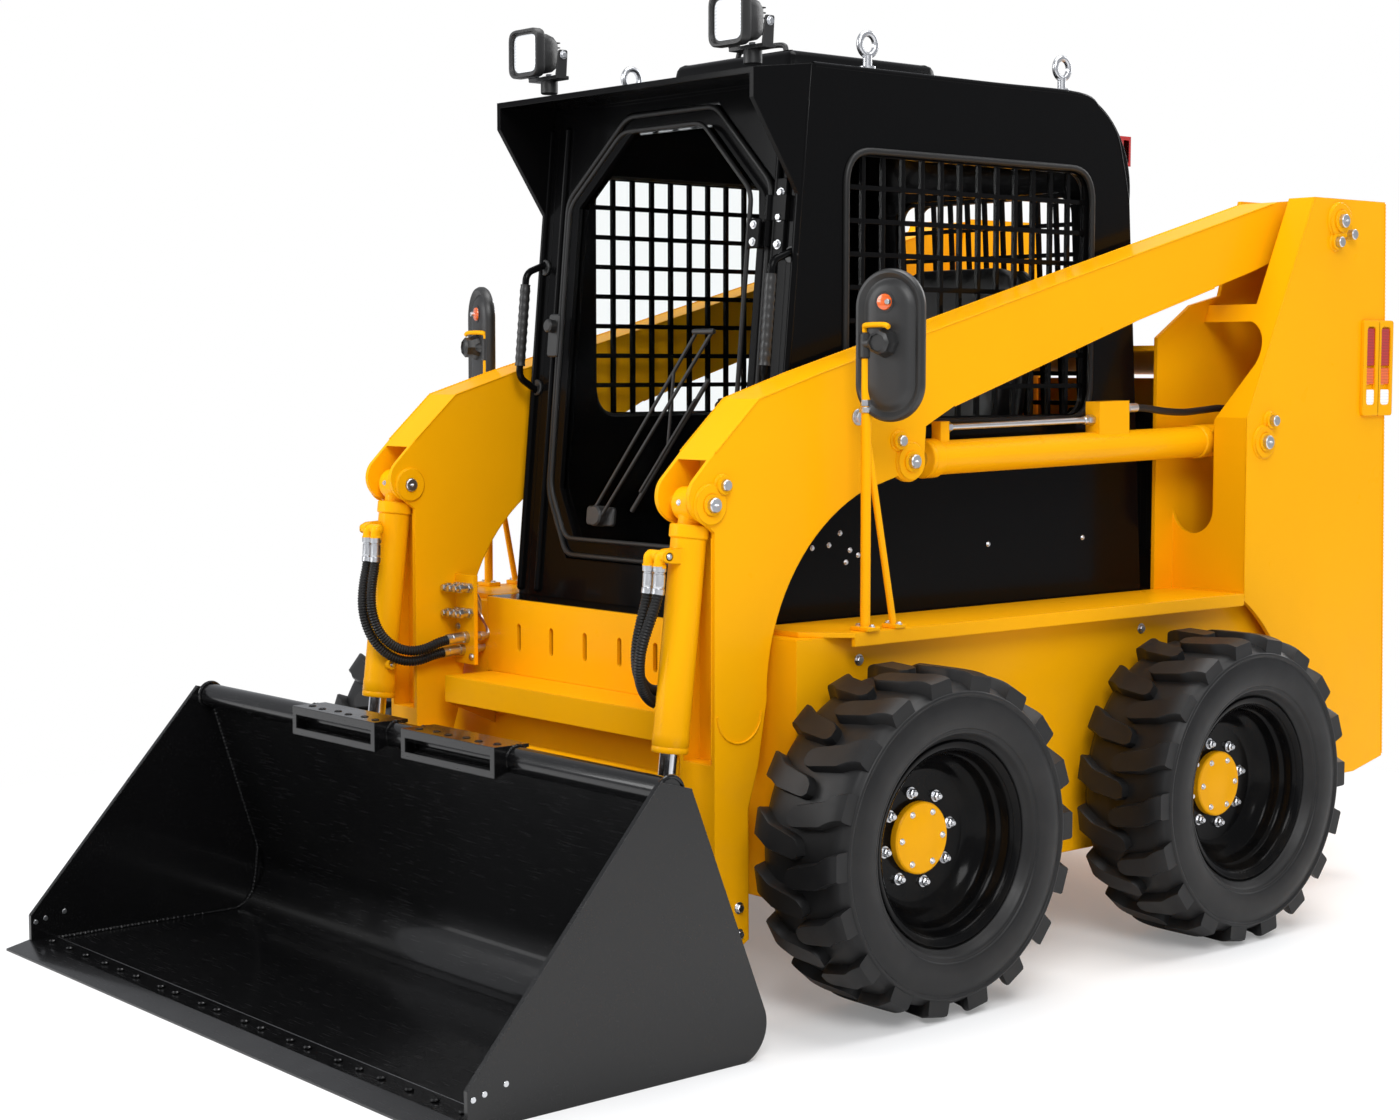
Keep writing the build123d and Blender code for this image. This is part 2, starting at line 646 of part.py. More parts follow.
def cab_outline():
    """Side view of the cab: leaning front, flat roof, rounded rear corner."""
    return outline(
        CAB_FRONT_BASE,
        CAB_FRONT_HEAD,
        (CAB_ROOF_REAR, CAB_ROOF),
        (CAB_REAR_ROUND, CAB_REAR_SHOULDER),
        (CAB_REAR_LOW, CAB_BOTTOM),
    )


def cab_ring():
    """The outline less its inside, one wall thick."""
    return cab_outline() - offset(cab_outline(), -CAB_WALL)


def rounded_window(y0, y1, z0, z1):
    return Pos((y0 + y1) / 2, (z0 + z1) / 2) * RectangleRounded(y1 - y0, z1 - z0, WINDOW_RADIUS)


def make_cab_side():
    """Left cab wall with its window cut out."""
    face = cab_outline() - rounded_window(*SIDE_WINDOW)
    return slab(face, CAB_HALF_WIDTH - CAB_WALL, CAB_HALF_WIDTH)


def cab_piece(window):
    """The part of the ring inside a side-view window, between the two cab walls."""
    half = CAB_HALF_WIDTH - CAB_WALL
    return slab(cab_ring() & window, -half, half)




def door_face(grow):
    """Eight-sided door outline in the plane of the cab front, grown by a margin."""
    right = [
        (DOOR_TOP_HALF_WIDTH, up_front(DOOR_TOP)),
        (DOOR_HALF_WIDTH, up_front(DOOR_SHOULDER)),
        (DOOR_HALF_WIDTH, up_front(DOOR_HIP)),
        (DOOR_LOW_HALF_WIDTH, up_front(DOOR_LOW)),
    ]
    left = [(-x, z) for x, z in reversed(right)]
    face = make_face(Polyline(*right, *left, close=True))
    if grow:
        face = offset(face, grow, kind=Kind.INTERSECTION)
    return face


def front_slab(face, depth0, depth1):
    """Face in the cab front's plane carried inwards from one depth to another."""
    return extrude(FRONT_PLANE.offset(-depth0) * face, amount=-(depth1 - depth0))


def hinge_knuckle(z):
    """Door hinge barrel on its axis, at the left edge of the door and just in front of it."""
    base = FRONT_PLANE.offset(HINGE_STANDOFF)
    centre = (DOOR_HALF_WIDTH + DOOR_GAP / 2, up_front(z) - HINGE_KNUCKLE_LENGTH / 2)
    start = base.from_local_coords((*centre, 0))
    return extrude(Plane(start, x_dir=(1, 0, 0), z_dir=base.y_dir) * Circle(HINGE_KNUCKLE_RADIUS),
                   HINGE_KNUCKLE_LENGTH)


def hinge_leaf(z, x0, x1):
    """Flat plate behind a hinge barrel, from the cab front's surface out to the barrel."""
    face = Pos((x0 + x1) / 2, up_front(z)) * Rectangle(abs(x1 - x0), HINGE_KNUCKLE_LENGTH)
    return front_slab(face, -HINGE_STANDOFF, 0)


def make_cab_front():
    """Front wall round the door, with the fixed halves of the hinges."""
    window = outline(
        (-CAB_REACH, 0.0),
        (-CAB_REACH, ROOF_SPLIT),
        (REAR_SPLIT, ROOF_SPLIT),
        (REAR_SPLIT, FOOT_SPLIT[1]),
        FOOT_SPLIT,
        (FOOT_SPLIT[0], 0.0),
    )
    wall = cab_piece(window) - front_slab(door_face(DOOR_GAP), -CAB_WALL, 3 * CAB_WALL)
    axis_x = DOOR_HALF_WIDTH + DOOR_GAP / 2
    for z in HINGE_HEIGHTS:
        fixed = z + (HINGE_KNUCKLE_LENGTH + SEAT_GAP) / FRONT_SCALE
        wall += hinge_knuckle(fixed) + hinge_leaf(fixed, axis_x + DOOR_GAP / 2, CAB_HALF_WIDTH - CAB_WALL)
    return wall


def make_cab_rear():
    """Rear wall with its window."""
    window = outline((REAR_SPLIT, 0.0), (REAR_SPLIT, ROOF_SPLIT), (CAB_REACH, ROOF_SPLIT), (CAB_REACH, 0.0))
    wall = cab_piece(window)
    half, low, high = REAR_WINDOW
    place = Pos(0, CAB_REAR_LOW, (low + high) / 2) * Rot(90, 0, 0)
    cut = place * RectangleRounded(2 * half, high - low, WINDOW_RADIUS)
    floor_rear = CAB_REAR_LOW - CAB_WALL - SIDE_GAP
    floor_top = CAB_BOTTOM + CAB_WALL + SIDE_GAP
    floor_cut = block(-CAB_HALF_WIDTH, CAB_HALF_WIDTH, REAR_SPLIT, floor_rear, 0, floor_top)
    return wall - extrude(cut, 5 * CAB_WALL, both=True) - floor_cut


def make_cab_roof():
    """Roof panel with the visor and its side wings."""
    above = CAB_ROOF + CAB_WALL
    reach = CAB_REACH
    window = outline((-reach, ROOF_SPLIT), (-reach, above), (reach, above), (reach, ROOF_SPLIT))
    roof = cab_piece(window)
    front = CAB_FRONT_TOP
    visor_face = outline(
        (front, CAB_ROOF),
        (VISOR_FRONT, CAB_ROOF - VISOR_DROP),
        (VISOR_FRONT, CAB_ROOF - VISOR_DROP - VISOR_THICKNESS),
        point_on(CAB_FRONT_BASE, CAB_FRONT_HEAD, CAB_ROOF - VISOR_ROOT),
    )
    visor = slab(visor_face, -CAB_HALF_WIDTH, CAB_HALF_WIDTH)
    wing_face = outline(
        (VISOR_FRONT, CAB_ROOF - VISOR_DROP),
        point_on(CAB_FRONT_BASE, CAB_FRONT_HEAD, CAB_ROOF - VISOR_DROP),
        point_on(CAB_FRONT_BASE, CAB_FRONT_HEAD, VISOR_WING_LOW),
        (VISOR_FRONT, CAB_ROOF - VISOR_WING_NOSE),
    )
    wing = slab(wing_face, CAB_HALF_WIDTH - VISOR_THICKNESS, CAB_HALF_WIDTH)
    return roof + visor + wing + mirror(wing, about=Plane.YZ)


def make_cab_floor():
    """Floor plate on the frame ledges, with the seat box on it."""
    width = CAB_HALF_WIDTH
    floor = block(-width, width, FRAME_FRONT + FRAME_WALL, CAB_REAR_LOW, LEDGE_TOP, CAB_BOTTOM)
    half, front, back, top = SEAT_BOX
    seat_box = block(-half, half, front, back, CAB_BOTTOM, top)
    return floor + seat_box


def grille_face(y0, y1, z0, z1, columns, rows):
    """Welded grid: a frame one bar wide and evenly spaced bars both ways."""
    face = rounded_window(y0, y1, z0, z1)
    pitch_y = (y1 - y0 - GRILLE_BAR) / columns
    pitch_z = (z1 - z0 - GRILLE_BAR) / rows
    hole = Rectangle(pitch_y - GRILLE_BAR, pitch_z - GRILLE_BAR)
    holes = []
    for column in range(columns):
        for row in range(rows):
            y = y0 + GRILLE_BAR / 2 + pitch_y * (column + 0.5)
            z = z0 + GRILLE_BAR / 2 + pitch_z * (row + 0.5)
            holes.append(Pos(y, z) * hole)
    inner = offset(face, -GRILLE_BAR)
    return face - (inner & (Sketch() + holes))


def make_window_grilles():
    """Grids in the two side windows and the rear window."""
    middle = CAB_HALF_WIDTH - CAB_WALL / 2
    side_face = grille_face(*SIDE_WINDOW, *SIDE_GRILLE_HOLES)
    side = slab(side_face, middle - GRILLE_DEPTH / 2, middle + GRILLE_DEPTH / 2)
    half, low, high = REAR_WINDOW
    rear_face = grille_face(-half, half, low, high, *REAR_GRILLE_HOLES)
    top = CAB_REAR_SHOULDER
    lean = math.degrees(math.atan2(CAB_REAR_LOW - top[0], top[1] - CAB_BOTTOM))
    centre_z = (low + high) / 2
    centre = point_on((CAB_REAR_LOW, CAB_BOTTOM), top, centre_z)
    plane = Plane(origin=(0, centre[0] - CAB_WALL / 2, centre_z), x_dir=(1, 0, 0), z_dir=(0, -1, 0))
    plane = plane.rotated((lean, 0, 0))
    rear = extrude(plane * Pos(0, -centre_z) * rear_face, GRILLE_DEPTH / 2, both=True)
    return Compound(children=[side, mirror(side, about=Plane.YZ), rear])


def make_seat():
    """Plain cushion and back rest on the seat box."""
    half, back, top = SEAT_CUSHION
    cushion = block(-half, half, SEAT_BOX[1], back, SEAT_BOX[3] + SEAT_GAP, top)
    back = Pos(*SEAT_BACK_PLACE) * Rot(-SEAT_BACK_LEAN, 0, 0) * Box(*SEAT_BACK_SIZE)
    return Compound(children=[cushion, back])


def make_control_levers():
    """Two drive levers in front of the seat."""
    levers = []
    width, depth, height = LEVER_FOOT
    for x in (-LEVER_X, LEVER_X):
        stand = Pos(x, LEVER_Y, CAB_BOTTOM + height / 2) * Box(width, depth, height)
        base = Plane(origin=(x, LEVER_Y, CAB_BOTTOM + height - LEVER_RADIUS), z_dir=(0, -LEVER_LEAN, 1))
        stick = extrude(base * Circle(LEVER_RADIUS), LEVER_LENGTH)
        grip = extrude(base.offset(LEVER_LENGTH - GRIP_LAP) * Circle(GRIP_RADIUS), GRIP_LENGTH)
        levers.append(stand + stick + grip)
    return Compound(children=levers)


def make_door_frame():
    """Eight-sided door rail with the moving halves of the hinges."""
    rail = front_slab(door_face(0) - door_face(-DOOR_RAIL), 0, DOOR_THICKNESS)
    axis_x = DOOR_HALF_WIDTH + DOOR_GAP / 2
    for z in HINGE_HEIGHTS:
        rail += hinge_knuckle(z) + hinge_leaf(z, DOOR_HALF_WIDTH - DOOR_RAIL, axis_x - DOOR_GAP / 2)
    return rail


def make_door_glass():
    """Flat pane inside the door rail."""
    middle = DOOR_THICKNESS / 2
    return front_slab(door_face(-DOOR_RAIL), middle - GLASS_THICKNESS / 2, middle + GLASS_THICKNESS / 2)


# Small pieces on the cab and frame


def make_work_lamps():
    """Two square lamps on brackets over the front of the roof."""
    middle = Pos(LAMP_X, LAMP_Y, CAB_ROOF + LAMP_LIFT) * Rot(90, 0, 0)
    bezel = RectangleRounded(LAMP_SIZE, LAMP_SIZE, LAMP_ROUND)
    opening = RectangleRounded(LAMP_SIZE - 2 * LAMP_RIM, LAMP_SIZE - 2 * LAMP_RIM, LAMP_ROUND - LAMP_RIM)
    housing = RectangleRounded(LAMP_BACK_SIZE, LAMP_BACK_SIZE, LAMP_ROUND)
    head = extrude(middle * bezel, LAMP_DEPTH / 2)
    head -= extrude(middle * Pos(0, 0, LAMP_DEPTH / 2) * opening, -LAMP_RIM)
    head += extrude(middle * housing, -LAMP_DEPTH / 2)
    lean = VISOR_DROP / (CAB_FRONT_TOP - VISOR_FRONT)
    back = LAMP_FOOT_BACK
    front = LAMP_FOOT_FRONT
    bracket_face = outline(
        (back, CAB_ROOF - lean * (CAB_FRONT_TOP - back)),
        (back, CAB_ROOF + LAMP_FOOT_HEIGHT),
        (front, CAB_ROOF + LAMP_FOOT_HEIGHT),
        (front, CAB_ROOF - lean * (CAB_FRONT_TOP - front)),
    )
    half = LAMP_FOOT_WIDTH / 2
    return both_sides(head + slab(bracket_face, LAMP_X - half, LAMP_X + half))


def make_grab_handles():
    """Bent tube on the cab front at each side of the door."""
    low = up_front(HANDLE_LOW)
    high = up_front(HANDLE_HIGH)
    points = [(low, 0.0), (low + HANDLE_BEND, HANDLE_OUT), (high - HANDLE_BEND, HANDLE_OUT), (high, 0.0)]
    route = [FRONT_PLANE.from_local_coords((HANDLE_X, along_front, out)) for along_front, out in points]
    path = FilletPolyline(*route, radius=HANDLE_OUT / 2)
    tube = sweep(Plane(origin=path @ 0, z_dir=path % 0) * Circle(HANDLE_RADIUS), path=path)
    behind = FRONT_PLANE.offset(-HANDLE_OUT) * Pos(HANDLE_X, (low + high) / 2) * Rectangle(HANDLE_OUT, high)
    tube -= extrude(behind, HANDLE_OUT)
    return both_sides(tube)


def make_lifting_eyes():
    """Four ring bolts on the roof corners."""
    eyes = []
    ring = Torus(EYE_RING_RADIUS, EYE_WIRE_RADIUS) - Cylinder(EYE_BORE_RADIUS, 3 * EYE_WIRE_RADIUS)
    for y in EYE_Y:
        hoop = Pos(EYE_X, y, CAB_ROOF + EYE_LIFT) * Rot(0, 90, 0) * ring
        collar = Pos(EYE_X, y, CAB_ROOF) * extrude(Circle(EYE_COLLAR_RADIUS), EYE_COLLAR_HEIGHT)
        shank = Pos(EYE_X, y, CAB_ROOF) * extrude(Circle(EYE_SHANK_RADIUS), EYE_SHANK_HEIGHT)
        eye = hoop + collar + shank
        eyes.append(eye)
        eyes.append(mirror(eye, about=Plane.YZ))
    return Compound(children=eyes)


def make_roof_hatch():
    """Raised pad in the middle of the roof."""
    half, front, back = HATCH
    pad = block(-half, half, front, back, CAB_ROOF, CAB_ROOF + HATCH_HEIGHT)
    pad = fillet(pad.edges().filter_by(Axis.Z), HATCH_ROUND)
    return chamfer(pad.faces().sort_by(Axis.Z)[-1].edges(), HATCH_CHAMFER)


def make_rear_lamp():
    """Warning lamp on the cab's rear top corner."""
    outer = CAB_HALF_WIDTH - CAB_WALL - DOOR_GAP
    back = CAB_REAR_SHOULDER[0] + REAR_LAMP_OUT
    lamp = block(outer - REAR_LAMP_WIDTH, outer, CAB_ROOF_REAR, back, REAR_LAMP_LOW, REAR_LAMP_TOP)
    return lamp - slab(cab_outline(), 0, CAB_HALF_WIDTH)


def make_tail_lamps():
    """Lamp and guard on the rear edge of each upright."""
    edge = ((TOWER_REAR_TOP, TOWER_TOP), (TOWER_REAR_LOW, TOWER_LOW_Z))
    low = point_on(*edge, TAIL_LAMP_LOW)
    high = point_on(*edge, TAIL_LAMP_LOW + TAIL_LAMP_HEIGHT)
    depth = TAIL_LAMP_DEPTH
    face = outline(low, (low[0] + depth, low[1]), (high[0] + depth, high[1]), high)
    return both_sides(slab(face, TOWER_OUTER_X - TAIL_LAMP_WIDTH, TOWER_OUTER_X))


def upright(x, y, radius, height):
    """Round post standing on the running board."""
    return Pos(x, y, CAB_BOTTOM) * extrude(Circle(radius), height)


def make_mirror_stalks():
    """Post and brace on each running board."""
    post = upright(MIRROR_X, MIRROR_POST_Y, POST_RADIUS, POST_HEIGHT)
    post += upright(MIRROR_X, MIRROR_POST_Y, POST_FOOT_RADIUS, POST_FOOT_HEIGHT)
    start = Vector(MIRROR_X, MIRROR_BRACE_Y, CAB_BOTTOM + POST_FOOT_HEIGHT / 2)
    end = Vector(MIRROR_X, MIRROR_POST_Y, CAB_BOTTOM + BRACE_HEIGHT)
    brace = extrude(Plane(origin=start, z_dir=end - start) * Circle(BRACE_RADIUS), (end - start).length)
    brace += upright(MIRROR_X, MIRROR_BRACE_Y, BRACE_FOOT_RADIUS, POST_FOOT_HEIGHT)
    return both_sides(post + brace)


def make_mirror_heads():
    """Oval mirror shells clamped to the posts."""
    middle = CAB_BOTTOM + MIRROR_LIFT
    width, depth, height = MIRROR_SIZE
    place = Pos(MIRROR_X + MIRROR_OFFSET, MIRROR_POST_Y + MIRROR_SETBACK, middle) * Rot(90, 0, 0)
    shell = extrude(place * SlotOverall(height, width, rotation=90), depth)
    shell = chamfer(shell.faces().sort_by(Axis.Y)[0].edges(), MIRROR_CHAMFER)
    clamp = Pos(MIRROR_X, MIRROR_POST_Y - MIRROR_SETBACK, middle) * Box(*MIRROR_CLAMP)
    post = upright(MIRROR_X, MIRROR_POST_Y, POST_RADIUS + SEAT_GAP, POST_HEIGHT + POST_RADIUS)
    return both_sides(shell + clamp - post)


def make_rear_door():
    """Engine door between the uprights, with louvre slots and its hinge eyes."""
    half = REAR_DOOR_HALF_WIDTH
    face_y = REAR_DOOR_FACE
    door = block(-half, half, face_y - REAR_DOOR_THICKNESS, face_y, REAR_DOOR_LOW, REAR_DOOR_TOP)
    for index in range(LOUVRES):
        z = LOUVRE_LOW + index * LOUVRE_PITCH
        slot = Pos(0, face_y, z) * Rot(90, 0, 0) * SlotOverall(LOUVRE_WIDTH, LOUVRE_HEIGHT)
        door -= extrude(slot, 2 * REAR_DOOR_THICKNESS, both=True)
    for z in REAR_HINGE_HEIGHTS:
        leaf = block(-half, -half + REAR_LEAF, face_y, REAR_HINGE_Y, z, z + HINGE_KNUCKLE_LENGTH)
        door += leaf + rear_knuckle(z)
    return door


def rear_knuckle(z):
    """Barrel of the engine door's hinge."""
    return extrude(Pos(REAR_HINGE_X, REAR_HINGE_Y, z) * Circle(HINGE_KNUCKLE_RADIUS), HINGE_KNUCKLE_LENGTH)


def make_towers():
    """Both uprights; the right one carries the fixed halves of the engine door's hinges."""
    left = make_tower()
    right = mirror(left, about=Plane.YZ)
    for z in REAR_HINGE_HEIGHTS:
        fixed = z + HINGE_KNUCKLE_LENGTH + SEAT_GAP
        ear_x = -TOWER_INNER_X - TOWER_PLATE
        ear_y = REAR_HINGE_Y + HINGE_KNUCKLE_RADIUS
        ear = block(ear_x, -TOWER_INNER_X, TOWER_REAR_TOP, ear_y, fixed, fixed + HINGE_KNUCKLE_LENGTH)
        right += ear + rear_knuckle(fixed)
    return Compound(children=[left, right])


# Lift arms


def arm_outline():
    """Lift arm seen from the side: tail round the pivot, long beam, knee, and the leg down to the foot."""
    tail_top = (ARM_PIVOT[0], ARM_PIVOT[1] + ARM_TAIL_RADIUS)
    tail_back = (ARM_PIVOT[0] + ARM_TAIL_RADIUS, ARM_PIVOT[1])
    tail_low = (ARM_PIVOT[0], ARM_PIVOT[1] - ARM_TAIL_RADIUS)
    foot = BUCKET_HINGE
    radius = ARM_FOOT_RADIUS
    return outline(
        ARM_TOP_EDGE[0],
        *ARM_TOP_EDGE[1:],
        tail_top,
        (tail_back, tail_low),
        *ARM_LOW_EDGE,
        ((LIFT_ROD_PIN[0], LIFT_ROD_PIN[1] - radius), ARM_LUG_END),
        ARM_KNEE_START,
        ARM_KNEE,
        *ARM_LEG_BACK,
        (foot[0] + radius, foot[1]),
        ((foot[0], foot[1] - radius), (foot[0] - radius, foot[1])),
        *ARM_LEG_FRONT,
        ARM_HEAD,
        ARM_NOSE,
    )


def make_lift_arms():
    """Both arms with their cross tube, welded into one frame."""
    inner = ARM_INNER_X
    outer = ARM_OUTER_X
    arm = slab(arm_outline(), inner, outer)
    gap0 = inner + ARM_PLATE
    gap1 = outer - ARM_PLATE
    for points in (BEAM_HOLLOW, LEG_HOLLOW, CYLINDER_CHANNEL, ROD_POCKET):
        arm -= slab(outline(*points), gap0, gap1)
    arm -= cross_pin(ARM_PIVOT, ARM_PIVOT_PIN_RADIUS + RUNNING_GAP, inner, outer)
    arm -= cross_pin(BUCKET_HINGE, HINGE_PIN_RADIUS + RUNNING_GAP, inner, outer)
    arm += cross_pin(TILT_BASE_PIN, TILT_PIN_RADIUS, inner, outer + PIN_HEAD)
    eye_half = LIFT_EYE_WIDTH / 2
    arm += cross_pin(LIFT_ROD_PIN, LIFT_BOSS_RADIUS, gap0, ARM_X - eye_half - SIDE_GAP)
    arm += cross_pin(LIFT_ROD_PIN, LIFT_BOSS_RADIUS, ARM_X + eye_half + SIDE_GAP, gap1)
    arm += cross_pin(LIFT_ROD_PIN, LIFT_PIN_RADIUS, outer, outer + PIN_HEAD)
    cross = cross_pin(CROSS_TUBE, CROSS_TUBE_RADIUS, -inner, inner)
    return arm + mirror(arm, about=Plane.YZ) + cross


def make_hose_brackets():
    """Bulkhead plates on the inner face of each leg, where the hoses end."""
    inner = ARM_INNER_X
    back = BULKHEAD_FACE + ARM_PLATE
    plate = block(inner - BULKHEAD_WIDTH, inner, BULKHEAD_FACE, back, BULKHEAD_LOW, BULKHEAD_TOP)
    return both_sides(plate)


# Cylinders


def make_barrel(base, tip, end, radius, eye_radius, eye_width, pin_radius, rod_radius, x):
    """Cylinder barrel: base eye, tube with a blind bore, and the gland where the rod comes out."""
    plane = along(base, tip, x)
    start = BOSS_RADIUS + SIDE_GAP
    tube = extrude(plane.offset(start) * Circle(radius), end - start)
    neck = eye_radius / 2
    tube += extrude(plane.offset(neck) * Circle(eye_width / 2 - NECK_INSET), start - neck)
    gland = extrude(plane.offset(end - GLAND_LENGTH) * Circle(radius + GLAND_LIP), GLAND_LENGTH)
    eye = cross_pin(base, eye_radius, x - eye_width / 2, x + eye_width / 2)
    bore_from = eye_radius + BORE_START
    bore = extrude(plane.offset(bore_from) * Circle(radius - BARREL_WALL), end - bore_from - GLAND_LENGTH)
    rod_hole = extrude(plane.offset(end - GLAND_LENGTH) * Circle(rod_radius + RUNNING_GAP), GLAND_LENGTH)
    pin_hole = cross_pin(base, pin_radius + RUNNING_GAP, x - eye_width, x + eye_width)
    return tube + gland + eye - bore - rod_hole - pin_hole


def make_rod(base, tip, radius, eye_radius, eye_width, pin_radius, bore_radius, x):
    """Piston rod: piston in the barrel, polished rod, and the rod eye with its bush hole."""
    plane = along(base, tip, x)
    length = distance(base, tip)
    rod = extrude(plane.offset(PISTON_START) * Circle(radius), length - PISTON_START - EYE_NECK)
    piston = extrude(plane.offset(PISTON_START) * Circle(bore_radius - RUNNING_GAP), PISTON_LENGTH)
    eye = cross_pin(tip, eye_radius, x - eye_width / 2, x + eye_width / 2)
    hole = cross_pin(tip, pin_radius, x - eye_width, x + eye_width)
    return rod + piston + eye - hole


def make_lift_barrel():
    """Left lift barrel with its port block and the pipe that runs along the top to the rod end."""
    barrel = make_barrel(LIFT_BASE_PIN, LIFT_ROD_PIN, LIFT_BARREL_END, LIFT_BARREL_RADIUS, LIFT_EYE_RADIUS,
                         LIFT_EYE_WIDTH, LIFT_PIN_RADIUS, LIFT_ROD_RADIUS, ARM_X)
    plane = along(LIFT_BASE_PIN, LIFT_ROD_PIN, ARM_X)
    centre = (LIFT_BLOCK_NEAR + LIFT_BLOCK_FAR) / 2
    port = Pos(0, LIFT_BLOCK_HEIGHT / 2) * Rectangle(LIFT_BLOCK_WIDTH, LIFT_BLOCK_HEIGHT)
    foot_height = PIPE_HEIGHT + PIPE_FOOT / 2
    foot = Pos(0, foot_height / 2) * Rectangle(PIPE_FOOT, foot_height)
    blocks = extrude(plane.offset(LIFT_BLOCK_NEAR) * port, LIFT_BLOCK_FAR - LIFT_BLOCK_NEAR)
    blocks += extrude(plane.offset(PIPE_END - PIPE_FOOT) * foot, PIPE_FOOT)
    bore_radius = LIFT_BARREL_RADIUS - BARREL_WALL
    bore = extrude(plane.offset(LIFT_BLOCK_NEAR) * Circle(bore_radius), LIFT_BARREL_END)
    pipe = extrude(plane.offset(centre) * Pos(0, PIPE_HEIGHT) * Circle(PIPE_RADIUS), PIPE_END - centre)
    return barrel + (blocks - bore) + pipe


def make_lift_rod():
    return make_rod(LIFT_BASE_PIN, LIFT_ROD_PIN, LIFT_ROD_RADIUS, LIFT_EYE_RADIUS, LIFT_EYE_WIDTH,
                    LIFT_PIN_RADIUS, LIFT_BARREL_RADIUS - BARREL_WALL, ARM_X)


def make_tilt_barrel():
    """Left tilt barrel with the port block that feeds its two hoses."""
    barrel = make_barrel(TILT_BASE_PIN, TILT_ROD_PIN, TILT_BARREL_END, TILT_BARREL_RADIUS, TILT_EYE_RADIUS,
                         TILT_EYE_WIDTH, TILT_PIN_RADIUS, TILT_ROD_RADIUS, ARM_X)
    low = PORT_FACE + PORT_ROOM
    port_x = (ARM_X - PORT_INNER, ARM_X + PORT_OUTER)
    return barrel + block(*port_x, *PORT_Y, low, low + PORT_HEIGHT)


def make_tilt_rod():
    return make_rod(TILT_BASE_PIN, TILT_ROD_PIN, TILT_ROD_RADIUS, TILT_EYE_RADIUS, TILT_EYE_WIDTH,
                    TILT_PIN_RADIUS, TILT_BARREL_RADIUS - BARREL_WALL, ARM_X)


# Bucket


def back_wall(share):
    """Point on the outer face of the bucket's back, from the heel (0) to the tube (1)."""
    y, z = HEEL_END
    return (y + share * (BACK_TOP[0] - y), z + share * (BACK_TOP[1] - z))


def make_bucket_shell():
    """Welded bucket: curved wrapper, side plates, the tube along the top."""
    top = back_wall(1.0)
    plate = BUCKET_PLATE
    wrapper_face = outline(
        (EDGE_BACK, 0.0),
        HEEL_START,
        (HEEL_MID, HEEL_END),
        top,
        (top[0] - plate, top[1]),
        (HEEL_END[0] - plate, HEEL_END[1]),
        ((HEEL_MID[0] - plate * HEEL_SLANT, HEEL_MID[1] + plate * HEEL_SLANT), (HEEL_START[0], plate)),
        (EDGE_BACK, plate),
    )
    half = BUCKET_HALF_WIDTH
    wrapper = slab(wrapper_face, -half + plate, half - plate)
    tube = cross_pin(BUCKET_TUBE, BUCKET_TUBE_RADIUS, -half + plate, half - plate)
    side_face = outline(
        (EDGE_BACK, 0.0),
        (EDGE_BACK, EDGE_THICKNESS),
        (EDGE_TIP + EDGE_BEVEL, EDGE_THICKNESS),
        (EDGE_TIP + EDGE_BEVEL, SIDE_NOSE),
        *SIDE_TOP,
        *SIDE_HEEL,
    )
    side = slab(side_face, half - plate, half)
    step = make_bucket_step()
    return wrapper + tube + side + mirror(side, about=Plane.YZ) + step + mirror(step, about=Plane.YZ)


def make_bucket_step():
    """Left foot plate on the bucket's top tube: a flat tread with a front lip and two end gussets."""
    top = BUCKET_TUBE[1] + BUCKET_TUBE_RADIUS
    front = BUCKET_TUBE[0] - BUCKET_STEP_REACH
    back = BUCKET_TUBE[0] + BUCKET_TUBE_RADIUS
    inner = BUCKET_STEP_X - BUCKET_STEP_WIDTH / 2
    outer = BUCKET_STEP_X + BUCKET_STEP_WIDTH / 2
    tread = block(inner, outer, front, back, top - STEP_PLATE / 2, top + STEP_PLATE / 2)
    lip = block(inner, outer, front, front + STEP_PLATE, top - BUCKET_STEP_LIP, top)
    edge = 2 * STEP_PLATE
    low = top - BUCKET_STEP_LIP + edge
    lip -= block(inner + edge, outer - edge, front, front + STEP_PLATE, low, top - edge)
    gusset_face = outline(
        (front, top),
        (front, top - BUCKET_STEP_LIP),
        (BUCKET_TUBE[0], BUCKET_TUBE[1] - BUCKET_TUBE_RADIUS / 2),
        (BUCKET_TUBE[0], top),
    )
    step = tread + lip
    for x in (inner, outer - STEP_PLATE):
        step += slab(gusset_face, x, x + STEP_PLATE)
    return step


def make_cutting_edge():
    """Bevelled edge plate along the front of the bucket floor."""
    face = outline(
        (EDGE_TIP, 0.0),
        (EDGE_BACK, 0.0),
        (EDGE_BACK, EDGE_THICKNESS),
        (EDGE_TIP + EDGE_BEVEL, EDGE_THICKNESS),
        (EDGE_TIP, EDGE_NOSE),
    )
    return slab(face, -BUCKET_HALF_WIDTH, BUCKET_HALF_WIDTH)


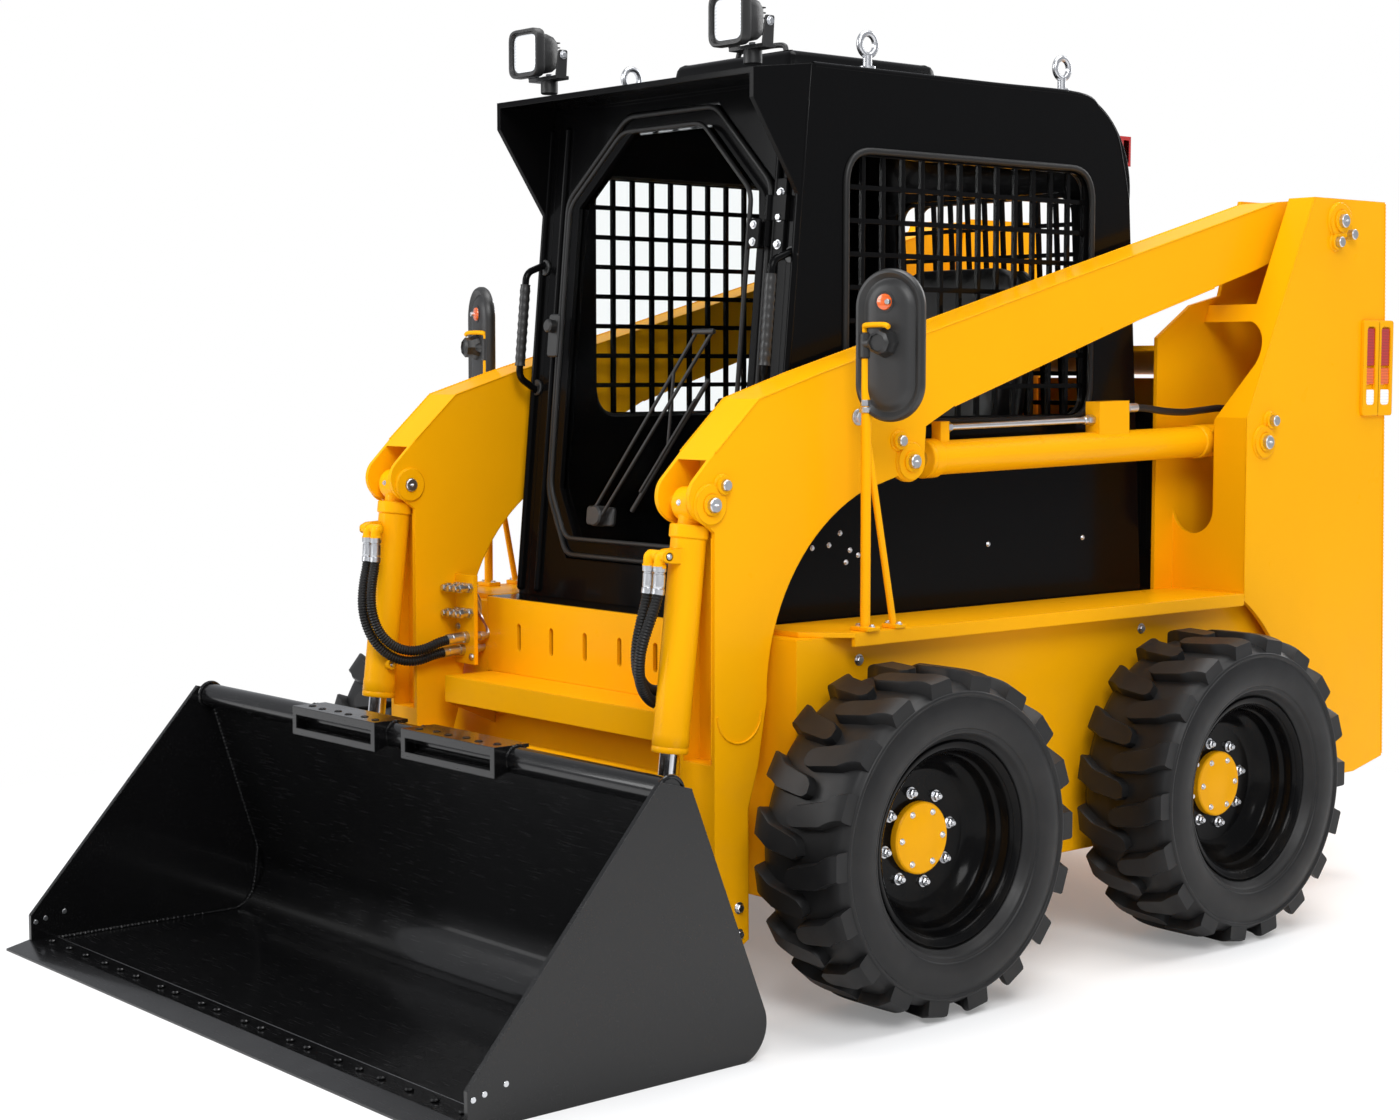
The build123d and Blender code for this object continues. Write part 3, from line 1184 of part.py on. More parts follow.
def make_coupler():
    """Attachment frame behind the bucket: back plate and four ears with the hinge pins."""
    top = back_wall(1.0)
    reach = distance(HEEL_END, top)
    low_front = back_wall(COUPLER_LOW / reach)
    high_front = back_wall((COUPLER_LOW + COUPLER_HEIGHT) / reach)
    out = ((top[1] - HEEL_END[1]) / reach, (HEEL_END[0] - top[0]) / reach)
    low_back = (low_front[0] + out[0] * COUPLER_THICKNESS, low_front[1] + out[1] * COUPLER_THICKNESS)
    high_back = (high_front[0] + out[0] * COUPLER_THICKNESS, high_front[1] + out[1] * COUPLER_THICKNESS)
    plate_face = outline(low_front, high_front, high_back, low_back)
    plate = slab(plate_face, -COUPLER_HALF_WIDTH, COUPLER_HALF_WIDTH)
    corners = outline(low_back, high_back, TILT_ROD_PIN, BUCKET_HINGE)
    rounds = Pos(*BUCKET_HINGE) * Circle(EAR_HINGE_RADIUS) + Pos(*TILT_ROD_PIN) * Circle(EAR_ROD_RADIUS)
    ear_face = make_hull((corners + rounds).edges())
    leg_inner = ARM_INNER_X - SIDE_GAP
    leg_outer = ARM_OUTER_X + SIDE_GAP
    ears = slab(ear_face, leg_inner - EAR_THICKNESS, leg_inner)
    ears += slab(ear_face, leg_outer, leg_outer + EAR_THICKNESS)
    eye_half = TILT_EYE_WIDTH / 2
    ears += cross_pin(BUCKET_HINGE, HINGE_PIN_RADIUS, leg_inner, leg_outer)
    ears += cross_pin(TILT_ROD_PIN, EAR_BOSS_RADIUS, leg_inner, ARM_X - eye_half - SIDE_GAP)
    ears += cross_pin(TILT_ROD_PIN, EAR_BOSS_RADIUS, ARM_X + eye_half + SIDE_GAP, leg_outer)
    return plate + ears + mirror(ears, about=Plane.YZ)


# Wheels


def turned(points):
    """Profile of (x, radius) pairs turned about the X axis."""
    return revolve(make_face(Polyline(*points, close=True)), Axis.X)


def facet_ring(x, radius, count):
    """Regular polygon across the wheel's axis whose flat sides lie at the radius."""
    corner = radius / math.cos(math.pi / count)
    plane = Plane(origin=(x, 0, 0), x_dir=(0, 1, 0), z_dir=(1, 0, 0))
    return plane * RegularPolygon(corner, count, rotation=180 / count)


def faceted(points, count):
    """Solid of flat facets through a row of (x, radius) pairs."""
    return loft([facet_ring(x, radius, count) for x, radius in points], ruled=True)


def lug(index):
    """Slanted bar on one facet of the tyre, from the shoulder to the middle; odd ones on the other side."""
    angle = index * 2 * math.pi / TYRE_FACETS
    outwards = (0, math.cos(angle), math.sin(angle))
    base = Plane(origin=tuple(LUG_ROOT * part for part in outwards), x_dir=(1, 0, 0), z_dir=outwards)
    side = 1 if index % 2 == 0 else -1
    shoulder = side * (TYRE_WIDTH / 2 - LUG_SETBACK)
    middle = side * LUG_SETBACK
    corners = [
        (shoulder, -LUG_WIDTH / 2),
        (shoulder, LUG_WIDTH / 2),
        (middle, LUG_WIDTH / 2 - LUG_LEAN),
        (middle, -LUG_WIDTH / 2 - LUG_LEAN),
    ]
    return extrude(base * make_face(Polyline(*corners, close=True)), WHEEL_RADIUS - LUG_ROOT)


def make_tyre():
    """Lugged tyre about the X axis, in flat facets; its cavity is closed by the rim."""
    half = TYRE_WIDTH / 2
    bead = RIM_RADIUS + SEAT_GAP
    bead_x = RIM_WIDTH / 2 - RIM_WALL - SEAT_GAP
    tread = WHEEL_RADIUS - LUG_HEIGHT
    right = [
        (TREAD_WIDTH / 2, tread),
        (half, tread - SHOULDER_DROP),
        (half - BEAD_FLARE, RIM_FLANGE_RADIUS + BEAD_FLARE / 2),
        (bead_x, RIM_FLANGE_RADIUS + SEAT_GAP),
    ]
    left = [(-x, radius) for x, radius in reversed(right)]
    carcass = faceted(left + right, TYRE_FACETS)
    bore = faceted([(-half, bead), (half, bead)], TYRE_FACETS)
    inner = tread - TYRE_WALL
    cavity_x = bead_x - TYRE_WALL
    cavity = faceted([(-cavity_x, inner), (cavity_x, inner)], CAVITY_FACETS)
    return carcass - bore - cavity + [lug(index) for index in range(TYRE_FACETS)]


def make_rim():
    """Deep steel rim with its disc, hub and the stub that turns in the axle tube."""
    half = RIM_WIDTH / 2
    disc_out = DISC_FACE_X - WHEEL_X
    disc_in = disc_out - DISC_THICKNESS
    hub_out = HUB_FACE_X - WHEEL_X
    stub_in = disc_in - HUB_GAP - STUB_LENGTH
    inner = RIM_RADIUS - RIM_WALL
    lip = RIM_FLANGE_RADIUS
    points = [
        (-half, inner),
        (-half, lip),
        (-half + RIM_WALL, lip),
        (-half + RIM_WALL, RIM_RADIUS),
        (half - RIM_WALL, RIM_RADIUS),
        (half - RIM_WALL, lip),
        (half, lip),
        (half, inner),
        (disc_out + DISC_DISH, inner),
        (disc_out, DISC_RADIUS),
        (disc_out, HUB_RADIUS),
        (hub_out, HUB_RADIUS),
        (hub_out, 0),
        (stub_in, 0),
        (stub_in, STUB_RADIUS),
        (disc_in, STUB_RADIUS),
        (disc_in, DISC_RADIUS + DISC_FLARE),
        (disc_in + DISC_BACK, inner),
    ]
    return turned(points)


# Hoses on the tilt cylinders


def inner_hose_route():
    """Centre line of the left tilt cylinder's inner hose, from its port to the bulkhead plate."""
    return [
        (ARM_X - 38.0, -1038.0, PORT_FACE),
        (ARM_X - 38.0, -1038.0, 946.0),
        (ARM_X - 43.0, -1056.0, 882.0),
        (ARM_X - 53.0, -1064.0, 818.0),
        (ARM_X - 68.0, -1047.0, 757.0),
        (ARM_X - 85.0, -1003.0, 718.0),
        (ARM_X - 100.0, -944.0, 712.0),
        (ARM_X - 111.0, -880.0, 740.0),
        (ARM_X - 111.0, BULKHEAD_FACE - SEAT_GAP, 740.0),
    ]


def outer_hose_route():
    """Centre line of the left tilt cylinder's outer hose, hanging a little lower than the inner one."""
    return [
        (ARM_X - 2.0, -1038.0, PORT_FACE),
        (ARM_X - 2.0, -1038.0, 944.0),
        (ARM_X - 10.0, -1060.0, 880.0),
        (ARM_X - 27.0, -1074.0, 814.0),
        (ARM_X - 47.0, -1060.0, 746.0),
        (ARM_X - 67.0, -1014.0, 696.0),
        (ARM_X - 84.0, -952.0, 682.0),
        (ARM_X - 92.0, -882.0, 706.0),
        (ARM_X - 92.0, BULKHEAD_FACE - SEAT_GAP, 706.0),
    ]


def make_hose(points):
    """Round hose along straight runs with large tangent arcs."""
    vectors = [Vector(*point) for point in points]
    radii = []
    for before, here, after in zip(vectors, vectors[1:], vectors[2:]):
        turn = math.radians((here - before).get_angle(after - here))
        shorter = min((here - before).length, (after - here).length)
        radii.append(HOSE_ARC_SHARE * shorter / math.tan(turn / 2))
    print("hose radii, mm:", [round(radius) for radius in radii])
    path = FilletPolyline(*vectors, radius=radii)
    section = Plane(origin=path @ 0, z_dir=path % 0) * Circle(HOSE_RADIUS)
    return sweep(section, path=path)


def build_nodes():
    """Every piece of the machine by its node name."""
    nodes = {
        "main_frame": make_main_frame(),
        "fenders": make_fenders(),
        "front_step": make_front_step(),
        "front_panel": make_front_panel(),
        "axle_tubes": make_axle_tubes(),
        "counterweight": make_counterweight(),
        "engine_block": make_engine_block(),
        "hood": make_hood(),
        "towers": make_towers(),
        "cab_sides": both_sides(make_cab_side()),
        "cab_front": make_cab_front(),
        "cab_rear": make_cab_rear(),
        "cab_roof": make_cab_roof(),
        "cab_floor": make_cab_floor(),
        "window_grilles": make_window_grilles(),
        "seat": make_seat(),
        "control_levers": make_control_levers(),
        "work_lamps": make_work_lamps(),
        "lifting_eyes": make_lifting_eyes(),
        "grab_handles": make_grab_handles(),
        "roof_hatch": make_roof_hatch(),
        "rear_lamp": make_rear_lamp(),
        "tail_lamps": make_tail_lamps(),
        "mirror_stalks": make_mirror_stalks(),
        "mirror_heads": make_mirror_heads(),
        "door_frame": make_door_frame(),
        "door_glass": make_door_glass(),
        "rear_door": make_rear_door(),
        "lift_arms": make_lift_arms(),
        "hose_brackets": make_hose_brackets(),
        "bucket_shell": make_bucket_shell(),
        "cutting_edge": make_cutting_edge(),
        "coupler": make_coupler(),
    }
    cylinders = {
        "lift_barrel": make_lift_barrel(),
        "lift_rod": make_lift_rod(),
        "tilt_barrel": make_tilt_barrel(),
        "tilt_rod": make_tilt_rod(),
    }
    for name, piece in cylinders.items():
        nodes[f"{name}_left"] = piece
        nodes[f"{name}_right"] = mirror(piece, about=Plane.YZ)
    tyre = make_tyre()
    rim = make_rim()
    for end, y in (("front", -AXLE_Y), ("rear", AXLE_Y)):
        for side, facing in (("left", 1), ("right", -1)):
            place = Pos(facing * WHEEL_X, y, WHEEL_RADIUS)
            turn = Rot(0, 0, 0) if facing > 0 else Rot(0, 0, 180)
            nodes[f"tyre_{end}_{side}"] = place * turn * tyre
            nodes[f"rim_{end}_{side}"] = place * turn * rim
    for name, route in (("inner", inner_hose_route()), ("outer", outer_hose_route())):
        hose = make_hose(route)
        nodes[f"hose_{name}_left"] = hose
        nodes[f"hose_{name}_right"] = mirror(hose, about=Plane.YZ)
    return nodes


os.makedirs("parts", exist_ok=True)
for name, shape in build_nodes().items():
    solids = [Pos(0, ORIGIN_SHIFT, 0) * solid for solid in shape.solids()]
    export_step(Compound(children=solids), f"parts/{name}.step")
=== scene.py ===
import json
import math

import bmesh
import bpy
import numpy as np
from mathutils import Matrix


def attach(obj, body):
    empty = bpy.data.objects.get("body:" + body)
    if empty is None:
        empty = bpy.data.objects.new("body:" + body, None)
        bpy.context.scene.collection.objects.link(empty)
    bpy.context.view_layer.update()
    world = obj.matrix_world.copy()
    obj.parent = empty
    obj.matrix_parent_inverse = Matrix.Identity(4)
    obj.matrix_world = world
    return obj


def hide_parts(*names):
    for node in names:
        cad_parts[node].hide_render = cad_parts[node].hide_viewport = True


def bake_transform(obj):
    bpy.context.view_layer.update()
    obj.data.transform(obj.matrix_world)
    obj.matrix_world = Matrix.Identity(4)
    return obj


bl_info = {
    "name": "Skid steer loader",
    "version": (1, 0, 0),
    "blender": (4, 5, 0),
    "location": "View3D > Sidebar > Loader",
    "description": "Dresses the packed loader with its wheels, fittings, hoses, paint and stage",
    "category": "Object",
}

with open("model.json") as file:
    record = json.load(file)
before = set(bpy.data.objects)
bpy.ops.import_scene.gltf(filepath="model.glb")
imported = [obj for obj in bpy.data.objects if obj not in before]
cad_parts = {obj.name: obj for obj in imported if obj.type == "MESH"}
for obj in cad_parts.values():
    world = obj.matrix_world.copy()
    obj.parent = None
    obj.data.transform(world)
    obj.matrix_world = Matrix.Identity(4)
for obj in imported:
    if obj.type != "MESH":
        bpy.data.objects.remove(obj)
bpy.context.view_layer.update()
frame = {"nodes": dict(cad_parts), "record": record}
NODES = frame["nodes"]
JOINTS = {joint["name"]: joint for joint in frame["record"]["behaviour"]["joints"]}

# Side-view places are given from the middle between the axles, which lies this far behind the origin.
MID_AXLES = 0.205
SIDES = (("left", 1.0), ("right", -1.0))
WHEELS = ("front_left", "front_right", "rear_left", "rear_right")
ARM_FACE = 0.6435
ARM_INNER = 0.5245
TOWER_FACE = 0.750
CAB_FACE = 0.495
ARM_MIDDLE = 0.584
# A cylinder's base pin in y and z, the direction along it and the direction across it.
TILT_BASE, TILT_STEP, TILT_FRONT = (-0.948, 1.134), (-0.11737, -0.99309), (-0.99309, 0.11737)
LIFT_BASE, LIFT_STEP, LIFT_UP = (0.880, 1.236), (-0.99982, -0.01897), (-0.01897, 0.99982)
# Bridge over the tilt barrel's ports and the outer end of its nub; pipe and hose over the lift cylinder's axis.
PORT_BRIDGE, PORT_BRIDGE_END, NUB_END = (-1.030, 1.0235), 0.606, ARM_MIDDLE - 0.054
PIPE_HEIGHT, FEED_HEIGHT = 0.072, 0.098
# The bucket's top tube in y and z.
BUCKET_TUBE = (-1.300, 0.585)
SMOOTH_ANGLE = math.radians(38)


def at(x, y, z):
    """Point of the row frame from x, y measured from mid-axles, and z."""
    return np.array((x, y + MID_AXLES, z), float)


# Sizes and colours that a user would change


class LoaderSizes(bpy.types.PropertyGroup):
    """Sizes of the dressed pieces."""

    lug_count: bpy.props.IntProperty(
        name="Lugs", description="Lugs on each side of a tyre", default=18, min=8, max=40)
    lug_depth: bpy.props.FloatProperty(
        name="Lug depth", description="Height of a lug over the carcass", default=0.024, unit="LENGTH")
    hose_diameter: bpy.props.FloatProperty(
        name="Hose diameter", description="Outer diameter of the tilt hoses", default=0.016, unit="LENGTH")
    edge_round: bpy.props.FloatProperty(
        name="Edge rounding", description="Radius that painted edges seem to have", default=0.004, unit="LENGTH")


class LoaderColours(bpy.types.PropertyGroup):
    """Colours of the finishes."""

    yellow: bpy.props.FloatVectorProperty(
        name="Yellow", description="Paint of arms, frame and uprights", subtype="COLOR", size=4,
        default=(0.90, 0.405, 0.002, 1.0))
    black: bpy.props.FloatVectorProperty(
        name="Black", description="Paint of cab, bucket and rims", subtype="COLOR", size=4,
        default=(0.003, 0.003, 0.0032, 1.0))
    rubber: bpy.props.FloatVectorProperty(
        name="Rubber", description="Tyres", subtype="COLOR", size=4, default=(0.007, 0.007, 0.0074, 1.0))
    lens_red: bpy.props.FloatVectorProperty(
        name="Red lens", description="Tail and warning lamps", subtype="COLOR", size=4,
        default=(0.48, 0.006, 0.004, 1.0))
    lens_amber: bpy.props.FloatVectorProperty(
        name="Amber lens", description="Marker lamps on the mirrors", subtype="COLOR", size=4,
        default=(0.85, 0.13, 0.01, 1.0))
    backdrop: bpy.props.FloatVectorProperty(
        name="Backdrop", description="Floor and background", subtype="COLOR", size=4, default=(0.9, 0.9, 0.9, 1.0))


# Surfaces: a shape is a pair of a vertex array and a list of faces


def grid(points, wrap_u=False, wrap_v=False, cap_u=False):
    """Quads between neighbours of a (rows, columns, 3) array, wrapping where asked, end rows closed by caps."""
    rows, cols = points.shape[:2]
    u = np.arange(rows if wrap_u else rows - 1)
    v = np.arange(cols if wrap_v else cols - 1)
    i, j = np.meshgrid(u, v, indexing="ij")
    a, b = i * cols + j, (i + 1) % rows * cols + j
    c, d = (i + 1) % rows * cols + (j + 1) % cols, i * cols + (j + 1) % cols
    faces = np.stack((a, b, c, d), -1).reshape(-1, 4).tolist()
    if cap_u:
        faces.append(list(range(cols))[::-1])
        faces.append(list(range((rows - 1) * cols, rows * cols)))
    return points.reshape(-1, 3), faces


def merge(*shapes):
    """One shape of several, their vertex arrays stacked and their faces renumbered."""
    starts = np.cumsum([0] + [len(verts) for verts, _ in shapes])
    faces = [[k + int(start) for k in face] for start, (_, fs) in zip(starts, shapes) for face in fs]
    return np.concatenate([verts for verts, _ in shapes]), faces


def turned(shape, basis, origin):
    """Shape carried into a frame: each point is the basis rows weighted by its coordinates, plus the origin."""
    verts, faces = shape
    return verts @ np.asarray(basis, float) + np.asarray(origin, float), faces


def facing(normal):
    """Basis rows whose third row is the normal."""
    n = np.asarray(normal, float) / np.linalg.norm(normal)
    side = np.cross(n, (0.0, 0.0, 1.0) if abs(n[2]) < 0.9 else (0.0, 1.0, 0.0))
    side /= np.linalg.norm(side)
    return np.array((side, np.cross(n, side), n))


def copies(shape, places, normal):
    """The shape at each place, its third axis along the normal."""
    return merge(*[turned(shape, facing(normal), place) for place in places])


def mirrored(shape):
    """The shape with its mirror image in the machine's middle plane."""
    verts, faces = shape
    return merge(shape, (verts * (-1, 1, 1), [face[::-1] for face in faces]))


def flipped(shape, sign):
    """The shape, or its mirror image in the machine's middle plane where the sign is negative."""
    verts, faces = shape
    return verts * (sign, 1, 1), faces


def side_line(x, path):
    """Points of a side view's (y, z) path at one x."""
    return np.array([at(x, y, z) for y, z in path])


def full_turn(count, start=0.0):
    """Equal angles all the way round."""
    return np.linspace(0, 2 * np.pi, count, endpoint=False) + start


def circle(centre, radius, angles):
    """Points at the given angles round an axis along X through a centre."""
    return centre + radius * np.column_stack((np.zeros(len(angles)), np.cos(angles), np.sin(angles)))


def on_face(shape, centre, towards=-1):
    """Shape whose outline lies in x and z, its third axis towards -Y or +Y, at a centre."""
    return turned(shape, ((towards, 0, 0), (0, 0, 1), (0, towards, 0)), centre)


def on_side(shape, x, y=0.0, sign=1):
    """Shape whose outline lies in y and z, its third axis out on the side of a sign, at an x and a y."""
    return turned(shape, ((0, 1, 0), (0, 0, 1), (sign, 0, 0)), at(x, y, 0))


def smooth_line(points, per=6):
    """Catmull-Rom curve through points: each span is the cubic of its four nearest points."""
    p = np.asarray(points, float)
    p = np.concatenate((2 * p[:1] - p[1:2], p, 2 * p[-1:] - p[-2:-1]))
    t = np.linspace(0, 1, per, endpoint=False)[None, :, None]
    a, b, c, d = (p[k:len(p) - 3 + k, None] for k in range(4))
    spans = 0.5 * (2 * b + (c - a) * t + (2 * a - 5 * b + 4 * c - d) * t**2 + (3 * b - a - 3 * c + d) * t**3)
    return np.concatenate((spans.reshape(-1, p.shape[1]), p[-2:-1]))


def revolve(profile, centre, segments=96, loop=True):
    """Profile of (x, radius) turned about the X axis through a centre; loop joins its last point to its first."""
    p = np.asarray(profile, float)
    turn = full_turn(segments)
    x = np.broadcast_to(p[:, None, 0], (len(p), segments))
    points = np.stack((x, p[:, None, 1] * np.cos(turn), p[:, None, 1] * np.sin(turn)), -1) + centre
    return grid(points, wrap_u=loop, wrap_v=True, cap_u=not loop)


def inset(outline, amount):
    """Outline moved inwards along its corners' mitred normals."""
    ahead = np.roll(outline, -1, 0) - outline
    ahead = ahead / np.linalg.norm(ahead, axis=1, keepdims=True)
    normal = np.stack((-ahead[:, 1], ahead[:, 0]), -1)
    both = normal + np.roll(normal, 1, 0)
    mitre = both / np.maximum((both * normal).sum(1, keepdims=True), 0.3)
    return outline + amount * mitre


def plate(outline, low, high, bevel=0.001):
    """Closed slab over a counter-clockwise (n, 2) outline between two heights, its rims bevelled."""
    o = np.asarray(outline, float)
    return stack([(inset(o, bevel), low), (o, low + bevel), (o, high - bevel), (inset(o, bevel), high)])


def ring_points(radius, count, power=2.0):
    """Points of a superellipse: a circle at power 2, towards a rounded square as the power grows."""
    t = full_turn(count)
    c, s = np.cos(t), np.sin(t)
    return radius * np.column_stack((np.sign(c) * np.abs(c) ** (2 / power), np.sign(s) * np.abs(s) ** (2 / power)))


def oval(width, height, count):
    """Upright stadium outline: two half circles joined by straight sides."""
    r = width / 2
    t = np.linspace(0, np.pi, count // 2)
    top = np.column_stack((r * np.cos(t), r * np.sin(t) + height / 2 - r))
    return np.concatenate((top, -top))


def carried(p, along, radius, around):
    """Circles round a path's points, each in the plane across its direction, with one radius or one for each."""
    along = along / np.linalg.norm(along, axis=1, keepdims=True)
    side = np.cross(along, np.eye(3)[int(np.argmin(np.abs(along).max(0)))])
    side /= np.linalg.norm(side, axis=1, keepdims=True)
    t = full_turn(around)[None, :, None]
    r = np.broadcast_to(np.asarray(radius, float).reshape(-1, 1, 1), (len(p), 1, 1))
    return p[:, None] + r * (np.cos(t) * side[:, None] + np.sin(t) * np.cross(along, side)[:, None])


def tube(path, radius, around=14):
    """Circle carried along a path: at each station it lies in the plane across the path's direction."""
    p = np.asarray(path, float)
    return grid(carried(p, np.gradient(p, axis=0), radius, around), wrap_v=True, cap_u=True)


def rod(start, end, radius, around=20, bevel=0.0012):
    """Round bar between two points with bevelled ends."""
    a, b = np.asarray(start, float), np.asarray(end, float)
    step = (b - a) / np.linalg.norm(b - a)
    return tube((a, a + step * bevel, b - step * bevel, b),
                (radius - bevel, radius, radius, radius - bevel), around)


def cushion_block(size, centre, tilt=0.0, power=6.0):
    """Crowned block: superellipse rings whose width falls off as a superellipse of the height, leaning by a tilt."""
    h = np.sin(np.linspace(-np.pi / 2, np.pi / 2, 14))
    shrink = np.maximum((1 - np.abs(h) ** power) ** (1 / power), 0.02)
    flat = ring_points(1.0, 64, power=power)
    x = flat[None, :, 0] * shrink[:, None] * size[0] / 2
    y = flat[None, :, 1] * shrink[:, None] * size[1] / 2
    z = np.broadcast_to(h[:, None] * size[2] / 2, x.shape)
    c, s = math.cos(tilt), math.sin(tilt)
    return grid(np.stack((x, c * y - s * z, s * y + c * z), -1) + np.asarray(centre), wrap_v=True, cap_u=True)


def bolt(radius, height, washer=1.35):
    """Six-sided head on a round washer, standing on its third axis."""
    head = plate(ring_points(radius, 6), 0.0, height, height * 0.16)
    return merge(plate(ring_points(radius * washer, 24), -0.001, height * 0.22, 0.0005), head)


def hoop(path, radius, around=10):
    """Circle carried round a closed path: at each station it lies across the line between its neighbours."""
    p = np.asarray(path, float)
    return grid(carried(p, np.roll(p, -1, 0) - np.roll(p, 1, 0), radius, around), wrap_u=True, wrap_v=True)


def rounded(corners, radius, per=6):
    """Closed outline whose corners are parabolas from a radius before each corner to a radius after it."""
    c = np.asarray(corners, float)
    ahead = np.roll(c, -1, 0) - c
    ahead /= np.linalg.norm(ahead, axis=1, keepdims=True)
    a, b = c - radius * np.roll(ahead, 1, 0), c + radius * ahead
    t = np.linspace(0, 1, per)[None, :, None]
    arcs = (1 - t) ** 2 * a[:, None] + 2 * t * (1 - t) * c[:, None] + t**2 * b[:, None]
    return arcs.reshape(-1, c.shape[1])


def box_outline(width, height, radius, centre=(0.0, 0.0)):
    """Counter-clockwise rounded rectangle."""
    w, h = width / 2, height / 2
    return rounded([(w, -h), (w, h), (-w, h), (-w, -h)], radius) + np.asarray(centre)


def levels(outlines_and_heights):
    """Rows of points from outlines of equal count, each at its height."""
    return np.array([np.column_stack((o, np.full(len(o), h))) for o, h in outlines_and_heights])


def frame_ring(outer, inner, low, high):
    """Flat ring between two outlines of equal count, from one height to another."""
    return grid(levels(((outer, low), (outer, high), (inner, high), (inner, low))), wrap_u=True, wrap_v=True)


def stack(outlines_and_heights):
    """Closed surface through a pile of equal outlines, each at its height."""
    return grid(levels(outlines_and_heights), wrap_v=True, cap_u=True)


def evenly(path, step):
    """Points at equal steps along a polyline, by linear interpolation on its length."""
    p = np.asarray(path, float)
    s = np.concatenate(((0.0,), np.cumsum(np.linalg.norm(np.diff(p, axis=0), axis=1))))
    stations = np.linspace(0, s[-1], max(2, int(s[-1] / step) + 1))
    return np.column_stack([np.interp(stations, s, p[:, k]) for k in range(p.shape[1])])


def weld(path, radius=0.0035):
    """Weld bead: a tube whose radius ripples along the seam as a sine."""
    p = evenly(path, 0.003)
    return tube(p, radius * (1 + 0.2 * np.sin(np.arange(len(p)) * 1.9)), 8)


MATERIALS = {}


def piece(name, shape, look, body):
    """Mesh object of a shape or a list of shapes in a finish, on a body unless that is None.

    Its one slot holds the finish.
    """
    verts, faces = merge(*shape) if isinstance(shape, list) else shape
    mesh = bpy.data.meshes.new(name)
    mesh.from_pydata(verts.tolist(), [], faces)
    work = bmesh.new()
    work.from_mesh(mesh)
    bmesh.ops.recalc_face_normals(work, faces=work.faces)
    work.to_mesh(mesh)
    work.free()
    mesh.polygons.foreach_set("use_smooth", np.ones(len(mesh.polygons), bool))
    mesh.set_sharp_from_angle(angle=SMOOTH_ANGLE)
    mesh.materials.append(MATERIALS[look])
    obj = bpy.data.objects.new(name, mesh)
    bpy.context.scene.collection.objects.link(obj)
    if body:
        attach(obj, body)
    return obj


# Shader maths


class Value:
    """A socket in a node tree; arithmetic on it adds Math nodes."""

    def __init__(self, tree, socket):
        self.tree = tree
        self.socket = socket

    def _math(self, operation, first, second):
        return self.tree.node("ShaderNodeMath", {"operation": operation}, {0: first, 1: second})

    def __add__(self, other):
        return self._math("ADD", self, other)

    def __radd__(self, other):
        return self._math("ADD", other, self)

    def __mul__(self, other):
        return self._math("MULTIPLY", self, other)

    def __rmul__(self, other):
        return self._math("MULTIPLY", other, self)


class Nodes:
    """A node tree whose nodes are made by their type, settings and inputs."""

    def __init__(self, tree):
        self.nodes = tree.nodes
        self.links = tree.links

    def node(self, kind, settings=None, inputs=None, out=0):
        """Any node: its type, its settings set first, then the values or links of its sockets."""
        made = self.nodes.new(kind)
        for key, value in (settings or {}).items():
            setattr(made, key, value)
        for key, value in (inputs or {}).items():
            if isinstance(value, Value):
                self.links.new(value.socket, made.inputs[key])
            else:
                made.inputs[key].default_value = value
        return Value(self, made.outputs[out])


class Finish(Nodes):
    """A material with one Principled shader, built by expressions on Values."""

    def __init__(self, name, **constants):
        self.material = bpy.data.materials.new(name)
        self.material.use_nodes = True
        super().__init__(self.material.node_tree)
        self.shader = self.nodes["Principled BSDF"]
        for key, value in constants.items():
            self.shader.inputs[key.replace("_", " ")].default_value = value

    def place(self):
        return self.node("ShaderNodeTexCoord", out="Object")

    def noise(self, scale, detail=3.0, rough=0.5):
        return self.node("ShaderNodeTexNoise", None,
                         {"Vector": self.place(), "Scale": scale, "Detail": detail, "Roughness": rough})

    def steps(self, value, low, high):
        """0 below low, 1 above high, straight between."""
        return self.node("ShaderNodeMapRange", {"clamp": True}, {0: value, 1: low, 2: high})

    def mix(self, share, first, second):
        return self.node("ShaderNodeMix", {"data_type": "RGBA"}, {0: share, 6: first, 7: second}, out=2)

    def height(self):
        return self.node("ShaderNodeSeparateXYZ", None, {0: self.place()}, out="Z")

    def set(self, socket, value):
        self.links.new(value.socket, self.shader.inputs[socket])

    def bump(self, height, strength, distance, edge=0.0):
        """Bump from a height, over edges that look rounded by a radius."""
        inputs = {"Height": height, "Strength": strength, "Distance": distance}
        if edge:
            inputs["Normal"] = self.node("ShaderNodeBevel", {"samples": 4}, {"Radius": edge})
        self.set("Normal", self.node("ShaderNodeBump", None, inputs))


def shade(colour, factor):
    """A colour made darker or lighter by a factor, opaque."""
    return tuple(min(1.0, c * factor) for c in colour[:3]) + (1.0,)


def paint(name, colour, rough, coat, shine, edge, dust):
    """Sprayed enamel: faint drift of tone, orange peel, rounded-looking edges and dust low down."""
    f = Finish(name, Coat_Weight=coat, Coat_Roughness=0.08, Specular_IOR_Level=shine)
    drift = f.noise(2.3, 4.0)
    grime = f.steps(f.noise(9.0, 8.0, 0.62), 0.45, 0.8) * f.steps(f.height(), 0.9, 0.05) * dust
    tone = f.mix(drift, shade(colour, 0.93), shade(colour, 1.05))
    f.set("Base Color", f.mix(grime, tone, (0.16, 0.13, 0.095, 1.0)))
    f.set("Roughness", f.noise(14.0, 5.0) * 0.12 + grime * 0.5 + (rough - 0.06))
    f.bump(f.noise(420.0, 1.0), 0.05, 0.0006, edge)
    return f.material


